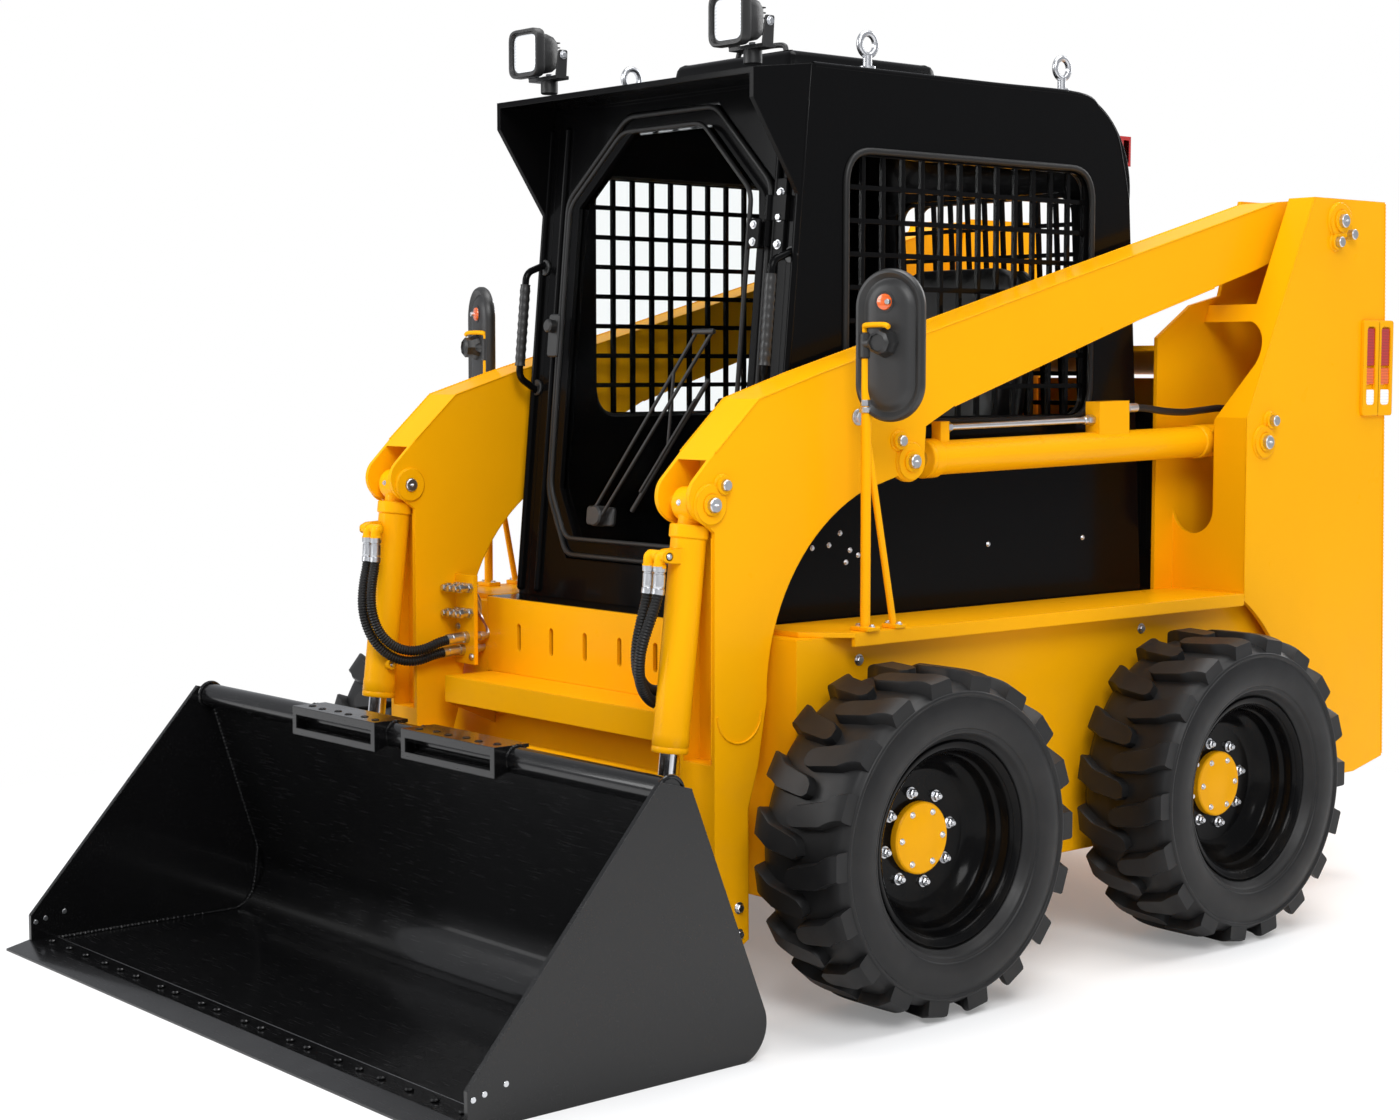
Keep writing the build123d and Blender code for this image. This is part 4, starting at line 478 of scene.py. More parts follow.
def bucket_paint(name, colour, edge):
    """Black enamel rubbed by earth: long fine scratches, paler and rougher than the rest."""
    f = Finish(name, Coat_Weight=0.4, Coat_Roughness=0.07, Specular_IOR_Level=0.2)
    streak = f.node("ShaderNodeTexNoise", None, {
        "Vector": f.node("ShaderNodeMapping", None, {"Vector": f.place(), "Scale": (5.0, 90.0, 90.0)}),
        "Scale": 3.0, "Detail": 6.0, "Roughness": 0.6})
    worn = f.steps(streak, 0.56, 0.78) * 0.22
    f.set("Base Color", f.mix(worn, colour, (0.05, 0.05, 0.052, 1.0)))
    f.set("Roughness", f.noise(11.0, 6.0) * 0.2 + worn * 0.6 + 0.12)
    f.bump(streak, 0.05, 0.0006, edge)
    return f.material


def steel(name, colour, rough, metal=1.0):
    """Bare or plated steel with fine turning marks."""
    f = Finish(name, Base_Color=colour, Metallic=metal)
    marks = f.noise(60.0, 4.0)
    f.set("Roughness", marks * 0.14 + (rough - 0.07))
    f.set("Base Color", f.mix(marks, shade(colour, 0.86), colour))
    f.bump(f.noise(900.0, 1.0), 0.04, 0.0003)
    return f.material


def rubber(name, colour, rough, dust):
    """Tyre or hose rubber: fine pores, a bloom of dust in patches."""
    f = Finish(name, Specular_IOR_Level=0.28)
    bloom = f.steps(f.noise(7.0, 8.0, 0.65), 0.4, 0.85) * dust
    f.set("Base Color", f.mix(bloom, colour, (0.05, 0.047, 0.043, 1.0)))
    f.set("Roughness", f.noise(22.0, 5.0) * 0.2 + (rough - 0.1))
    f.bump(f.noise(650.0, 2.0), 0.1, 0.0008)
    return f.material


def plastic(name, colour, rough):
    """Moulded plastic with a fine even grain."""
    f = Finish(name)
    f.set("Base Color", f.mix(f.noise(6.0), shade(colour, 0.9), shade(colour, 1.1)))
    f.set("Roughness", f.noise(30.0, 4.0) * 0.15 + (rough - 0.07))
    f.bump(f.noise(1100.0, 1.0), 0.12, 0.0005)
    return f.material


def lens(name, colour, glow=0.0):
    """Coloured lamp lens with moulded ribs."""
    f = Finish(name, Coat_Weight=1.0, Coat_Roughness=0.03, Roughness=0.12)
    ribs = f.node("ShaderNodeTexWave", {"bands_direction": "Z"}, {"Vector": f.place(), "Scale": 40.0})
    f.set("Base Color", f.mix(ribs, shade(colour, 0.75), colour))
    f.bump(ribs, 0.2, 0.001)
    if glow:
        f.shader.inputs["Emission Color"].default_value = colour
        f.shader.inputs["Emission Strength"].default_value = glow
    return f.material


def window_glass(name):
    """Clear safety glass, faintly smeared."""
    f = Finish(name, Base_Color=(0.93, 0.96, 0.96, 1.0), Transmission_Weight=1.0, IOR=1.02, Specular_IOR_Level=0.6)
    f.set("Roughness", f.steps(f.noise(5.0, 6.0), 0.5, 0.9) * 0.04)
    return f.material


def vinyl(name):
    """Grained black seat vinyl."""
    f = Finish(name)
    grain = f.node("ShaderNodeTexVoronoi", None, {"Vector": f.place(), "Scale": 420.0})
    f.set("Base Color", f.mix(f.noise(8.0), (0.012, 0.012, 0.012, 1.0), (0.022, 0.021, 0.02, 1.0)))
    f.set("Roughness", f.noise(25.0) * 0.15 + 0.4)
    f.bump(grain, 0.25, 0.0008)
    return f.material


class LOADER_OT_finishes(bpy.types.Operator):
    """Makes every finish and paints the CAD pieces with them"""

    bl_idname = "loader.finishes"
    bl_label = "Paint the machine"

    def execute(self, context):
        colours = context.scene.loader_colours
        edge = context.scene.loader_sizes.edge_round
        yellow, black = tuple(colours.yellow), tuple(colours.black)
        MATERIALS.update({
            "yellow_paint": paint("yellow_enamel", yellow, 0.30, 0.03, 0.06, edge, 0.12),
            "black_paint": paint("black_enamel", black, 0.18, 0.05, 0.05, edge, 0.06),
            "bucket_paint": bucket_paint("bucket_enamel", black, edge),
            "dark_iron": steel("dark_iron", (0.05, 0.05, 0.05, 1.0), 0.6, 0.6),
            "rod_chrome": steel("rod_chrome", (0.75, 0.75, 0.77, 1.0), 0.14),
            "zinc_steel": steel("zinc_steel", (0.62, 0.63, 0.65, 1.0), 0.32),
            "black_plastic": plastic("black_plastic", (0.014, 0.014, 0.014, 1.0), 0.42),
            "tyre_rubber": rubber("tyre_rubber", tuple(colours.rubber), 0.46, 0.2),
            "hose_rubber": rubber("hose_rubber", (0.01, 0.01, 0.01, 1.0), 0.45, 0.1),
            "seat_vinyl": vinyl("seat_vinyl"),
            "clear_glass": window_glass("clear_glass"),
            "red_lens": lens("red_lens", tuple(colours.lens_red)),
            "amber_lens": lens("amber_lens", tuple(colours.lens_amber)),
            "white_lens": lens("white_lens", (0.86, 0.88, 0.9, 1.0), 0.25),
        })
        slots = {row["node"]: row["material_slot"] for row in frame["record"]["subparts"]}
        slots.update({"bucket_shell": "bucket_paint", "cutting_edge": "bucket_paint"})
        for name, node in NODES.items():
            node.data.materials.clear()
            node.data.materials.append(MATERIALS[slots[name]])
        return {"FINISHED"}


# Wheels


def tyre_surface(centre):
    """Carcass: a smooth (x, radius) profile from bead to bead turned about the axle, closed over the rim."""
    half = smooth_line([(0.0, 0.3630), (0.05, 0.3625), (0.088, 0.3595), (0.110, 0.3535), (0.121, 0.3470),
                        (0.1275, 0.3430), (0.1320, 0.3395), (0.1325, 0.3345), (0.1290, 0.3300), (0.1302, 0.3250),
                        (0.1335, 0.310), (0.1345, 0.295), (0.1340, 0.280), (0.1318, 0.266), (0.1300, 0.260),
                        (0.1262, 0.2565), (0.1250, 0.2490), (0.113, 0.240), (0.104, 0.233), (0.0965, 0.230),
                        (0.0965, 0.2105)], 4)
    return revolve(np.concatenate((half[::-1], half[1:] * (-1, 1))), centre, 120)


def lug_surfaces(centre, count, depth, out):
    """Lugs: each is a six-point section carried from the shoulder past the middle.

    Its angle grows with the way across, so it leans, and its width falls off as an ellipse at the end.
    """
    crown = 0.3865
    t = np.linspace(0, 1, 16)
    shapes = []
    for side in (1.0, -1.0):
        x = side * (0.1295 - 0.1505 * t)
        start = np.arange(count) * 2 * np.pi / count + (0 if side * out > 0 else np.pi / count)
        middle = start[:, None] + 0.115 * (0.35 * np.clip(t / 0.35, 0, 1) ** 2 + 0.65 * t)
        half = (0.034 - 0.009 * t) * np.sqrt(1 - 0.8 * np.clip((t - 0.86) / 0.14, 0, 1) ** 2)
        top = crown - 0.012 * np.abs(x / 0.13) ** 6
        offset = half[:, None] * np.array((-1.15, -0.96, -0.86, 0.86, 0.96, 1.15))
        drop = np.array((depth + 0.026, 0.005, 0.0, 0.0, 0.005, depth + 0.026))
        angle = middle[:, :, None] + (offset / crown)[None]
        radius = np.broadcast_to(top[:, None] - drop, angle.shape)
        points = np.stack((np.broadcast_to(x[None, :, None], angle.shape), radius * np.cos(angle),
                           radius * np.sin(angle)), -1) + centre
        shapes += [grid(lug, wrap_v=True, cap_u=True) for lug in points]
    return merge(*shapes)


def rim_surface(centre, out):
    """Deep rim: a closed stepped (x, radius) profile turned about the axle, its face towards out."""
    profile = [(-0.083, 0.001), (-0.083, 0.035), (-0.017, 0.035), (-0.017, 0.150), (-0.007, 0.190),
               (-0.094, 0.1985), (-0.104, 0.203), (-0.105, 0.2285), (-0.0985, 0.2285), (-0.097, 0.2093),
               (0.097, 0.2093), (0.0985, 0.2285), (0.1035, 0.2290), (0.1052, 0.2265), (0.1045, 0.221),
               (0.100, 0.2125), (0.094, 0.2055), (0.084, 0.203), (0.068, 0.203), (0.062, 0.200), (0.058, 0.194),
               (0.046, 0.192), (0.034, 0.191), (0.028, 0.187), (0.022, 0.176), (0.014, 0.168), (0.004, 0.160),
               (-0.001, 0.152), (-0.003, 0.144), (-0.003, 0.001)]
    return revolve(np.array(profile) * (out, 1), centre, 96, loop=False)


class LOADER_OT_wheels(bpy.types.Operator):
    """Makes the lugged tyres, deep rims, hub caps and wheel nuts"""

    bl_idname = "loader.wheels"
    bl_label = "Wheels"

    def execute(self, context):
        sizes = context.scene.loader_sizes
        for name in WHEELS:
            body = f"wheel_{name}"
            centre = np.array(JOINTS[f"wheel_{name}_spin"]["pos_m"])
            out = 1.0 if name.endswith("left") else -1.0
            tread = lug_surfaces(centre, sizes.lug_count, sizes.lug_depth, out)
            tyre = piece(f"tyre_{name}_lugged", merge(tyre_surface(centre), tread),
                         "tyre_rubber", body)
            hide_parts(f"tyre_{name}")
            rim = piece(f"rim_{name}_stepped", rim_surface(centre, out), "black_paint", body)
            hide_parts(f"rim_{name}")
            cap = [(-0.004, 0.001), (-0.004, 0.0815), (0.012, 0.0815), (0.0155, 0.078), (0.0155, 0.050),
                   (0.0165, 0.046), (0.0165, 0.001)]
            piece(f"hub_cap_{name}", revolve(np.array(cap) * (out, 1), centre, 64, loop=False),
                  "yellow_paint", body)
            nuts = circle(centre - (0.003 * out, 0, 0), 0.104, full_turn(8, 0.2))
            nut = merge(bolt(0.0108, 0.014, 1.3), plate(ring_points(0.006, 16), 0.0, 0.019, 0.001))
            small = circle(centre + (0.0155 * out, 0, 0), 0.064, full_turn(6))
            axis = (out, 0, 0)
            piece(f"wheel_nuts_{name}", [copies(nut, nuts, axis), copies(bolt(0.0055, 0.005), small, axis)],
                  "zinc_steel", body)
        return {"FINISHED"}


# Arms and cylinders


def pin_head(radius):
    """Pin end with a chamfer and a grease nipple in its middle."""
    head = plate(ring_points(radius, 32), -0.002, 0.012, 0.002)
    return merge(head, plate(ring_points(0.004, 6), 0.011, 0.015, 0.0008),
                 plate(ring_points(0.0025, 12), 0.014, 0.019, 0.001))


def collar(radius, hole, height):
    """Welded boss: a ring with a fillet of weld at its foot."""
    ring = frame_ring(ring_points(radius, 40), ring_points(hole, 40), -0.001, height)
    foot = np.column_stack((ring_points(radius, 40), np.zeros(40)))
    return merge(ring, hoop(foot, 0.004, 8))


class LOADER_OT_arm_fittings(bpy.types.Operator):
    """Makes the pins, bosses and bolts on the lift arms and the uprights"""

    bl_idname = "loader.arm_fittings"
    bl_label = "Arm fittings"

    def execute(self, context):
        out, inn = (1, 0, 0), (-1, 0, 0)
        pins = [TILT_BASE, (-0.332, 1.213)]
        keepers = [(-0.913, 1.176), (-0.372, 1.262)]
        steel_parts = merge(
            copies(pin_head(0.0165), side_line(ARM_FACE + 0.012, pins), out),
            copies(pin_head(0.0165), side_line(ARM_INNER, pins), inn),
            copies(plate(ring_points(0.0125, 24), 0.0, 0.022, 0.002), side_line(ARM_FACE, keepers), out),
            copies(bolt(0.014, 0.011), [at(ARM_FACE, -0.501, 1.318)], out),
            copies(bolt(0.010, 0.009), side_line(ARM_FACE, [(-0.862, 0.175), (-0.862, 0.235)]), out))
        piece("arm_pins", mirrored(steel_parts), "zinc_steel", "arms")
        leg_end = circle(at(ARM_FACE + 0.001, -0.8615, 0.668), -0.064, np.linspace(0, np.pi, 24))
        seams = [weld(leg_end, 0.0025)]
        seams += [weld(side_line(x, [(-0.931, 0.58), (-0.931, 1.06)]), 0.003)
                  for x in (ARM_INNER + 0.012, ARM_FACE - 0.012)]
        for path in ([(-0.931, 1.247), (-0.805, 1.362), (-0.621, 1.418), (0.267, 1.660), (1.05, 1.870)],
                     [(-0.182, 1.341), (0.498, 1.555), (0.80, 1.640)]):
            seams += [weld(side_line(x, path), 0.0022) for x in (ARM_FACE, ARM_INNER)]
        bosses = merge(
            copies(collar(0.043, 0.0242, 0.008), side_line(ARM_FACE, pins), out),
            copies(collar(0.040, 0.017, 0.006), side_line(ARM_INNER, pins), inn),
            copies(collar(0.021, 0.0122, 0.012), side_line(ARM_FACE, keepers), out), *seams)
        piece("arm_bosses_and_welds", mirrored(bosses), "yellow_paint", "arms")
        pivot, spares = (1.200, 1.825), [(1.240, 1.790), (1.182, 1.768), (0.905, 1.292)]
        heads = merge(
            copies(pin_head(0.018), side_line(TOWER_FACE + 0.012, [pivot, LIFT_BASE]), out),
            copies(plate(ring_points(0.014, 24), 0.0, 0.026, 0.002), side_line(TOWER_FACE, spares), out))
        piece("upright_pins", mirrored(heads), "zinc_steel", "chassis")
        rings = merge(
            copies(collar(0.048, 0.0302, 0.008), [at(TOWER_FACE, *pivot)], out),
            copies(collar(0.042, 0.0252, 0.008), [at(TOWER_FACE, *LIFT_BASE)], out),
            copies(collar(0.022, 0.0142, 0.012), side_line(TOWER_FACE, spares[1:]), out),
            weld(side_line(TOWER_FACE, [(1.413, 1.880), (1.4545, 0.350)]), 0.0025),
            weld(side_line(TOWER_FACE - 0.001, [(0.811, 0.83), (0.811, 1.300), (1.087, 1.882)]), 0.0025))
        piece("upright_bosses_and_welds", mirrored(rings), "yellow_paint", "chassis")
        return {"FINISHED"}


def on_cylinder(base, step, across, s, h, x):
    """Point a length s along a cylinder's axis and a height h off it, at an x."""
    return at(x, base[0] + step[0] * s + across[0] * h, base[1] + step[1] * s + across[1] * h)


def tilt(s, h=0.0, x=ARM_MIDDLE):
    """Point on the left tilt cylinder."""
    return on_cylinder(TILT_BASE, TILT_STEP, TILT_FRONT, s, h, x)


def lift(s, h=0.0):
    """Point on the left lift cylinder."""
    return on_cylinder(LIFT_BASE, LIFT_STEP, LIFT_UP, s, h, ARM_MIDDLE)


def tilt_barrel():
    """Left tilt barrel: a turned body with its eye and neck, the two port elbows, their bridge and a side nub."""
    stations = (0.046, 0.048, 0.074, 0.077, 0.500, 0.503, 0.508, 0.530, 0.532, 0.535, 0.544, 0.546)
    radii = (0.0425, 0.0445, 0.0445, 0.040, 0.040, 0.0405, 0.041, 0.041, 0.0395, 0.041, 0.041, 0.0395)
    barrel = tube([tilt(s) for s in stations], radii, 48)
    eye = rod(at(ARM_MIDDLE - 0.028, *TILT_BASE), at(ARM_MIDDLE + 0.028, *TILT_BASE), 0.038, 40, 0.003)
    neck = tube([tilt(s) for s in (0.010, 0.030, 0.044, 0.050)], (0.027, 0.027, 0.028, 0.034), 40)
    elbow = [(-1.026, 1.0235), (-1.036, 1.022), (-1.0385, 1.012), (-1.038, 0.999)]
    ports = [merge(tube(smooth_line(side_line(x, elbow)), 0.0125, 20),
                   rod(at(x, -1.038, 1.006), at(x, -1.038, 0.996), 0.0148, 24)) for x in (0.546, 0.582)]
    bridge = rod(at(0.536, *PORT_BRIDGE), at(PORT_BRIDGE_END, *PORT_BRIDGE), 0.0125, 24, 0.003)
    arm = on_side(plate(rounded([(-1.030, 1.010), (-1.046, 1.016), (-1.046, 1.030), (-1.030, 1.0375),
                                 (-0.978, 1.040), (-0.978, 1.006)], 0.004), 0.0, 0.026, 0.002), 0.580)
    nub = rod(tilt(0.46, 0, ARM_MIDDLE - 0.034), tilt(0.46, 0, NUB_END), 0.013, 24)
    return merge(barrel, eye, neck, *ports, bridge, arm, nub)


def tilt_screws():
    """Left tilt cylinder's screws: in the port bridge's end, the nub and the eye."""
    return merge(*[copies(bolt(0.005, 0.004), [place], normal) for normal, place in (
        ((1, 0, 0), at(PORT_BRIDGE_END, *PORT_BRIDGE)), ((-1, 0, 0), tilt(0.46, 0, NUB_END)),
        ((0, *TILT_FRONT), tilt(0.0, 0.038)))])


def lift_pipe():
    """Left lift cylinder's steel pipe and its nuts, with the nut and sleeve where the hose starts."""
    return merge(*[rod(lift(start, height), lift(end, height), *rest) for start, end, height, *rest in (
        (0.486, 1.036, PIPE_HEIGHT, 0.0078, 20), (0.480, 0.512, PIPE_HEIGHT, 0.0135, 6, 0.002),
        (0.512, 0.526, PIPE_HEIGHT, 0.0105, 20), (1.014, 1.034, PIPE_HEIGHT, 0.0135, 6, 0.002),
        (0.350, 0.374, FEED_HEIGHT, 0.0135, 6, 0.002), (0.318, 0.352, FEED_HEIGHT, 0.0118, 20))])


def lift_feed():
    """Left lift cylinder's hose stub, sagging into the upright."""
    route = ((0.345, FEED_HEIGHT), (0.28, 0.095), (0.20, 0.085), (0.12, 0.080), (0.04, 0.083), (-0.02, 0.086),
             (-0.06, 0.084))
    return tube(smooth_line([lift(*place) for place in route]), 0.0095, 16)


def lift_caps():
    """Left lift barrel's gland and end collar."""
    gland = tube([lift(s) for s in (1.072, 1.075, 1.098, 1.100, 1.103, 1.112, 1.1145)],
                 (0.0442, 0.0472, 0.0472, 0.0455, 0.0472, 0.0472, 0.044), 48)
    return merge(gland, tube([lift(s) for s in (0.046, 0.049, 0.072, 0.076)], (0.042, 0.0445, 0.0445, 0.0412), 48))


class LOADER_OT_cylinders(bpy.types.Operator):
    """Makes the tilt cylinder barrels with their ports and the pipes on the lift cylinders"""

    bl_idname = "loader.cylinders"
    bl_label = "Cylinders"

    def execute(self, context):
        for side, sign in SIDES:
            made = piece(f"tilt_cylinder_{side}", flipped(tilt_barrel(), sign), "yellow_paint", f"tilt_barrel_{side}")
            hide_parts(f"tilt_barrel_{side}")
            piece(f"tilt_cylinder_screws_{side}", flipped(tilt_screws(), sign), "zinc_steel", f"tilt_barrel_{side}")
            piece(f"lift_pipe_{side}", flipped(lift_pipe(), sign), "zinc_steel", f"lift_barrel_{side}")
            piece(f"lift_feed_{side}", flipped(lift_feed(), sign), "hose_rubber", f"lift_barrel_{side}")
            piece(f"lift_cylinder_caps_{side}", flipped(lift_caps(), sign), "yellow_paint", f"lift_barrel_{side}")
        return {"FINISHED"}


# Routes of the left side's tilt hoses from port to bulkhead: x, y from mid-axles, and z.
HOSE_ROUTES = {
    "inner": ((0.546, -1.038, 1.002), (0.546, -1.038, 0.946), (0.541, -1.056, 0.882), (0.531, -1.064, 0.818),
              (0.516, -1.047, 0.757), (0.499, -1.003, 0.718), (0.484, -0.944, 0.712), (0.473, -0.880, 0.740),
              (0.473, -0.8123, 0.740)),
    "outer": ((0.582, -1.038, 1.002), (0.582, -1.038, 0.944), (0.574, -1.060, 0.880), (0.557, -1.074, 0.814),
              (0.537, -1.060, 0.746), (0.517, -1.014, 0.696), (0.500, -0.952, 0.682), (0.492, -0.882, 0.706),
              (0.492, -0.8123, 0.706)),
}


def spline_line(curve):
    """Points along an unbevelled curve's own spline."""
    probe = bpy.data.objects.new("hose_line", curve)
    line = bpy.data.meshes.new_from_object(probe)
    points = np.empty(3 * len(line.vertices))
    line.vertices.foreach_get("co", points)
    bpy.data.objects.remove(probe)
    bpy.data.meshes.remove(line)
    return points.reshape(-1, 3)


def ferrule(points):
    """Crimped sleeve and nut along the first 62 mm of a line: bands of different radius."""
    p = evenly(points, 0.0015)[:42]
    s = np.arange(len(p)) * 0.0015
    r = np.select([s < 0.013, s < 0.017, s < 0.046, s < 0.049], [0.0148, 0.0118, 0.0134, 0.0124], 0.0142)
    return tube(p, r, 24)


class LOADER_OT_hoses(bpy.types.Operator):
    """Makes the free hoses of the tilt cylinders with their spiral guards and ferrules"""

    bl_idname = "loader.hoses"
    bl_label = "Hoses"

    def execute(self, context):
        diameter = context.scene.loader_sizes.hose_diameter
        for side, sign in SIDES:
            for name, route in HOSE_ROUTES.items():
                points = [at(sign * x, y, z) for x, y, z in route]
                curve = bpy.data.curves.new(f"tilt_hose_{name}_{side}", "CURVE")
                curve.dimensions = "3D"
                spline = curve.splines.new("NURBS")
                spline.points.add(len(points) - 1)
                spline.points.foreach_set("co", np.column_stack((points, np.ones(len(points)))).ravel())
                spline.order_u = 3
                spline.use_endpoint_u = True
                spline.resolution_u = 12
                line = spline_line(curve)
                bpy.data.curves.remove(curve)
                hose = piece(f"tilt_hose_{name}_{side}", tube(line, diameter / 2, 20), "hose_rubber", None)
                even = evenly(line, 0.0017)[36:-33]
                guard = tube(even, 0.0119 + 0.0011 * np.sin(np.arange(len(even)) * np.pi / 2), 16)
                sleeve = piece(f"hose_guard_{name}_{side}", guard, "hose_rubber", None)
                top = piece(f"hose_top_{name}_{side}", ferrule(line), "zinc_steel", f"tilt_barrel_{side}")
                end = piece(f"hose_end_{name}_{side}", ferrule(line[::-1]), "zinc_steel", "arms")
                for bending in (hose, sleeve):
                    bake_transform(bending)
                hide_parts(f"hose_{name}_{side}")
        return {"FINISHED"}


def coupling():
    """Hydraulic coupling on its third axis: nut, body, second nut and cap."""
    return merge(plate(ring_points(0.0135, 6), 0.0, 0.011), plate(ring_points(0.009, 18), 0.010, 0.030),
                 plate(ring_points(0.0125, 6), 0.027, 0.039), plate(ring_points(0.0085, 18), 0.038, 0.052, 0.002))


class LOADER_OT_bulkhead(bpy.types.Operator):
    """Makes the couplings and pipes on the bulkhead plates of the legs"""

    bl_idname = "loader.bulkhead"
    bl_label = "Bulkhead couplings"

    def execute(self, context):
        rows = [at(x, -0.812, z) for z in (0.868, 0.803) for x in (0.455, 0.482, 0.509)]
        back = [at(0.473, -0.800, 0.740), at(0.492, -0.800, 0.706)]
        parts = [copies(coupling(), rows, (0, -1, 0)), copies(coupling(), back, (0, 1, 0)),
                 copies(bolt(0.007, 0.006), [at(0.452, -0.812, 0.690), at(0.512, -0.812, 0.765)], (0, -1, 0))]
        for (x, z), reach in (((0.473, 0.740), 0.0), ((0.492, 0.706), 0.014)):
            path = smooth_line([(x, -0.795, z), (x, -0.750, z), (x + 0.012, -0.738 + reach, z + 0.02),
                                (0.510, -0.742 + reach, z + 0.05), (0.512, -0.762 + reach, 0.83),
                                (0.516, -0.79 + reach, 0.87), (0.530, -0.80 + reach, 0.89)], 8)
            parts.append(tube(path + (0, MID_AXLES, 0), 0.006, 12))
        piece("bulkhead_couplings", mirrored(merge(*parts)), "zinc_steel", "arms")
        return {"FINISHED"}


# Bucket


class LOADER_OT_bucket(bpy.types.Operator):
    """Makes the bolts, welds and step hole lips of the bucket, with dark discs of painted shade for the step holes"""

    bl_idname = "loader.bucket"
    bl_label = "Bucket details"

    def execute(self, context):
        spread = np.array((0.06, 0.13, 0.25, 0.32, 0.44, 0.52, 0.60, 0.70, 0.79, 0.885))
        heads = [at(x, -1.772, 0.0178) for x in np.concatenate((-spread[::-1], spread))]
        black = [copies(plate(ring_points(0.0095, 18), 0.0, 0.007, 0.0025), heads, (0, 0, 1))]
        wall = [(-1.735, 0.0145), (-1.235, 0.0145), (-1.205, 0.028), (-1.186, 0.055), (-1.176, 0.10),
                (-1.1685, 0.17), (-1.292, 0.556)]
        for x in (-0.932, 0.932):
            black.append(weld(side_line(x, wall), 0.0045))
            black.append(hoop(circle(at(x, *BUCKET_TUBE), 0.0325, full_turn(40)), 0.005, 8))
        for x in (0.055, 0.417, -0.417, -0.055):
            black.append(weld(circle(at(x, *BUCKET_TUBE), 0.0315, np.linspace(-0.4, np.pi * 0.9, 24)), 0.004))
        piece("bucket_bolts_and_welds", black, "bucket_paint", "bucket")
        shiny = [weld([at(-0.931, -1.7375, 0.0135), at(0.931, -1.7375, 0.0135)], 0.0035)]
        disc = plate(ring_points(0.006, 16), -0.001, 0.0015, 0.0005)
        holes = [(-1.792, 0.062), (-1.766, 0.068), (-1.716, 0.078)]
        for x, normal in ((0.934, -1), (-0.934, 1), (0.946, 1), (-0.946, -1)):
            shiny.append(copies(disc, side_line(x, holes), (normal, 0, 0)))
        piece("bucket_bright_parts", shiny, "zinc_steel", "bucket")
        spots = [at(sign * (0.236 + step), y, 0.6188) for sign in (-1, 1)
                 for step, y in zip(np.linspace(-0.145, 0.145, 6), (-1.336, -1.328) * 3)]
        # The step holes are not cut: each is a dark disc in the black plastic finish, painted shade where the hole
        # would look dark.
        hole_shade_disc = plate(ring_points(0.0075, 20), -0.001, 0.0008, 0.0003)
        piece("step_hole_shade_discs", copies(hole_shade_disc, spots, (0, 0, 1)), "black_plastic", "bucket")
        lip = frame_ring(ring_points(0.0092, 20), ring_points(0.0075, 20), 0.0, 0.0018)
        piece("step_hole_lips", copies(lip, spots, (0, 0, 1)), "bucket_paint", "bucket")
        return {"FINISHED"}


# Cab


# Cosine and sine of the lean of the cab's front face.
LEAN_COS, LEAN_SIN = 0.9957, 0.0926
FRONT_BASIS = ((1, 0, 0), (0, LEAN_SIN, LEAN_COS), (0, -LEAN_COS, LEAN_SIN))
# Corners of the front door in x and z.
DOOR = ((0.170, 2.062), (-0.170, 2.062), (-0.395, 1.860), (-0.395, 1.110), (-0.300, 0.950), (0.300, 0.950),
        (0.395, 1.110), (0.395, 1.860))


def front(x, z, out=0.0):
    """Point on the cab's leaning front face at x and z, moved out of it along its normal."""
    return at(x, -0.630 + (z - 0.840) * 0.120 / 1.290 - LEAN_COS * out, z + LEAN_SIN * out)


def door_line(amount, out, radius=0.03):
    """Closed line round the door, moved in from its edge and out of its face."""
    flat = rounded(inset(np.array(DOOR), amount), radius)
    return np.array([front(x, z, out) for x, z in flat])


def front_plate(size, low, high, bevel, x, z):
    """Rounded plate of a width, height and corner radius lying on the cab's front face."""
    return turned(plate(box_outline(*size), low, high, bevel), FRONT_BASIS, front(x, z))


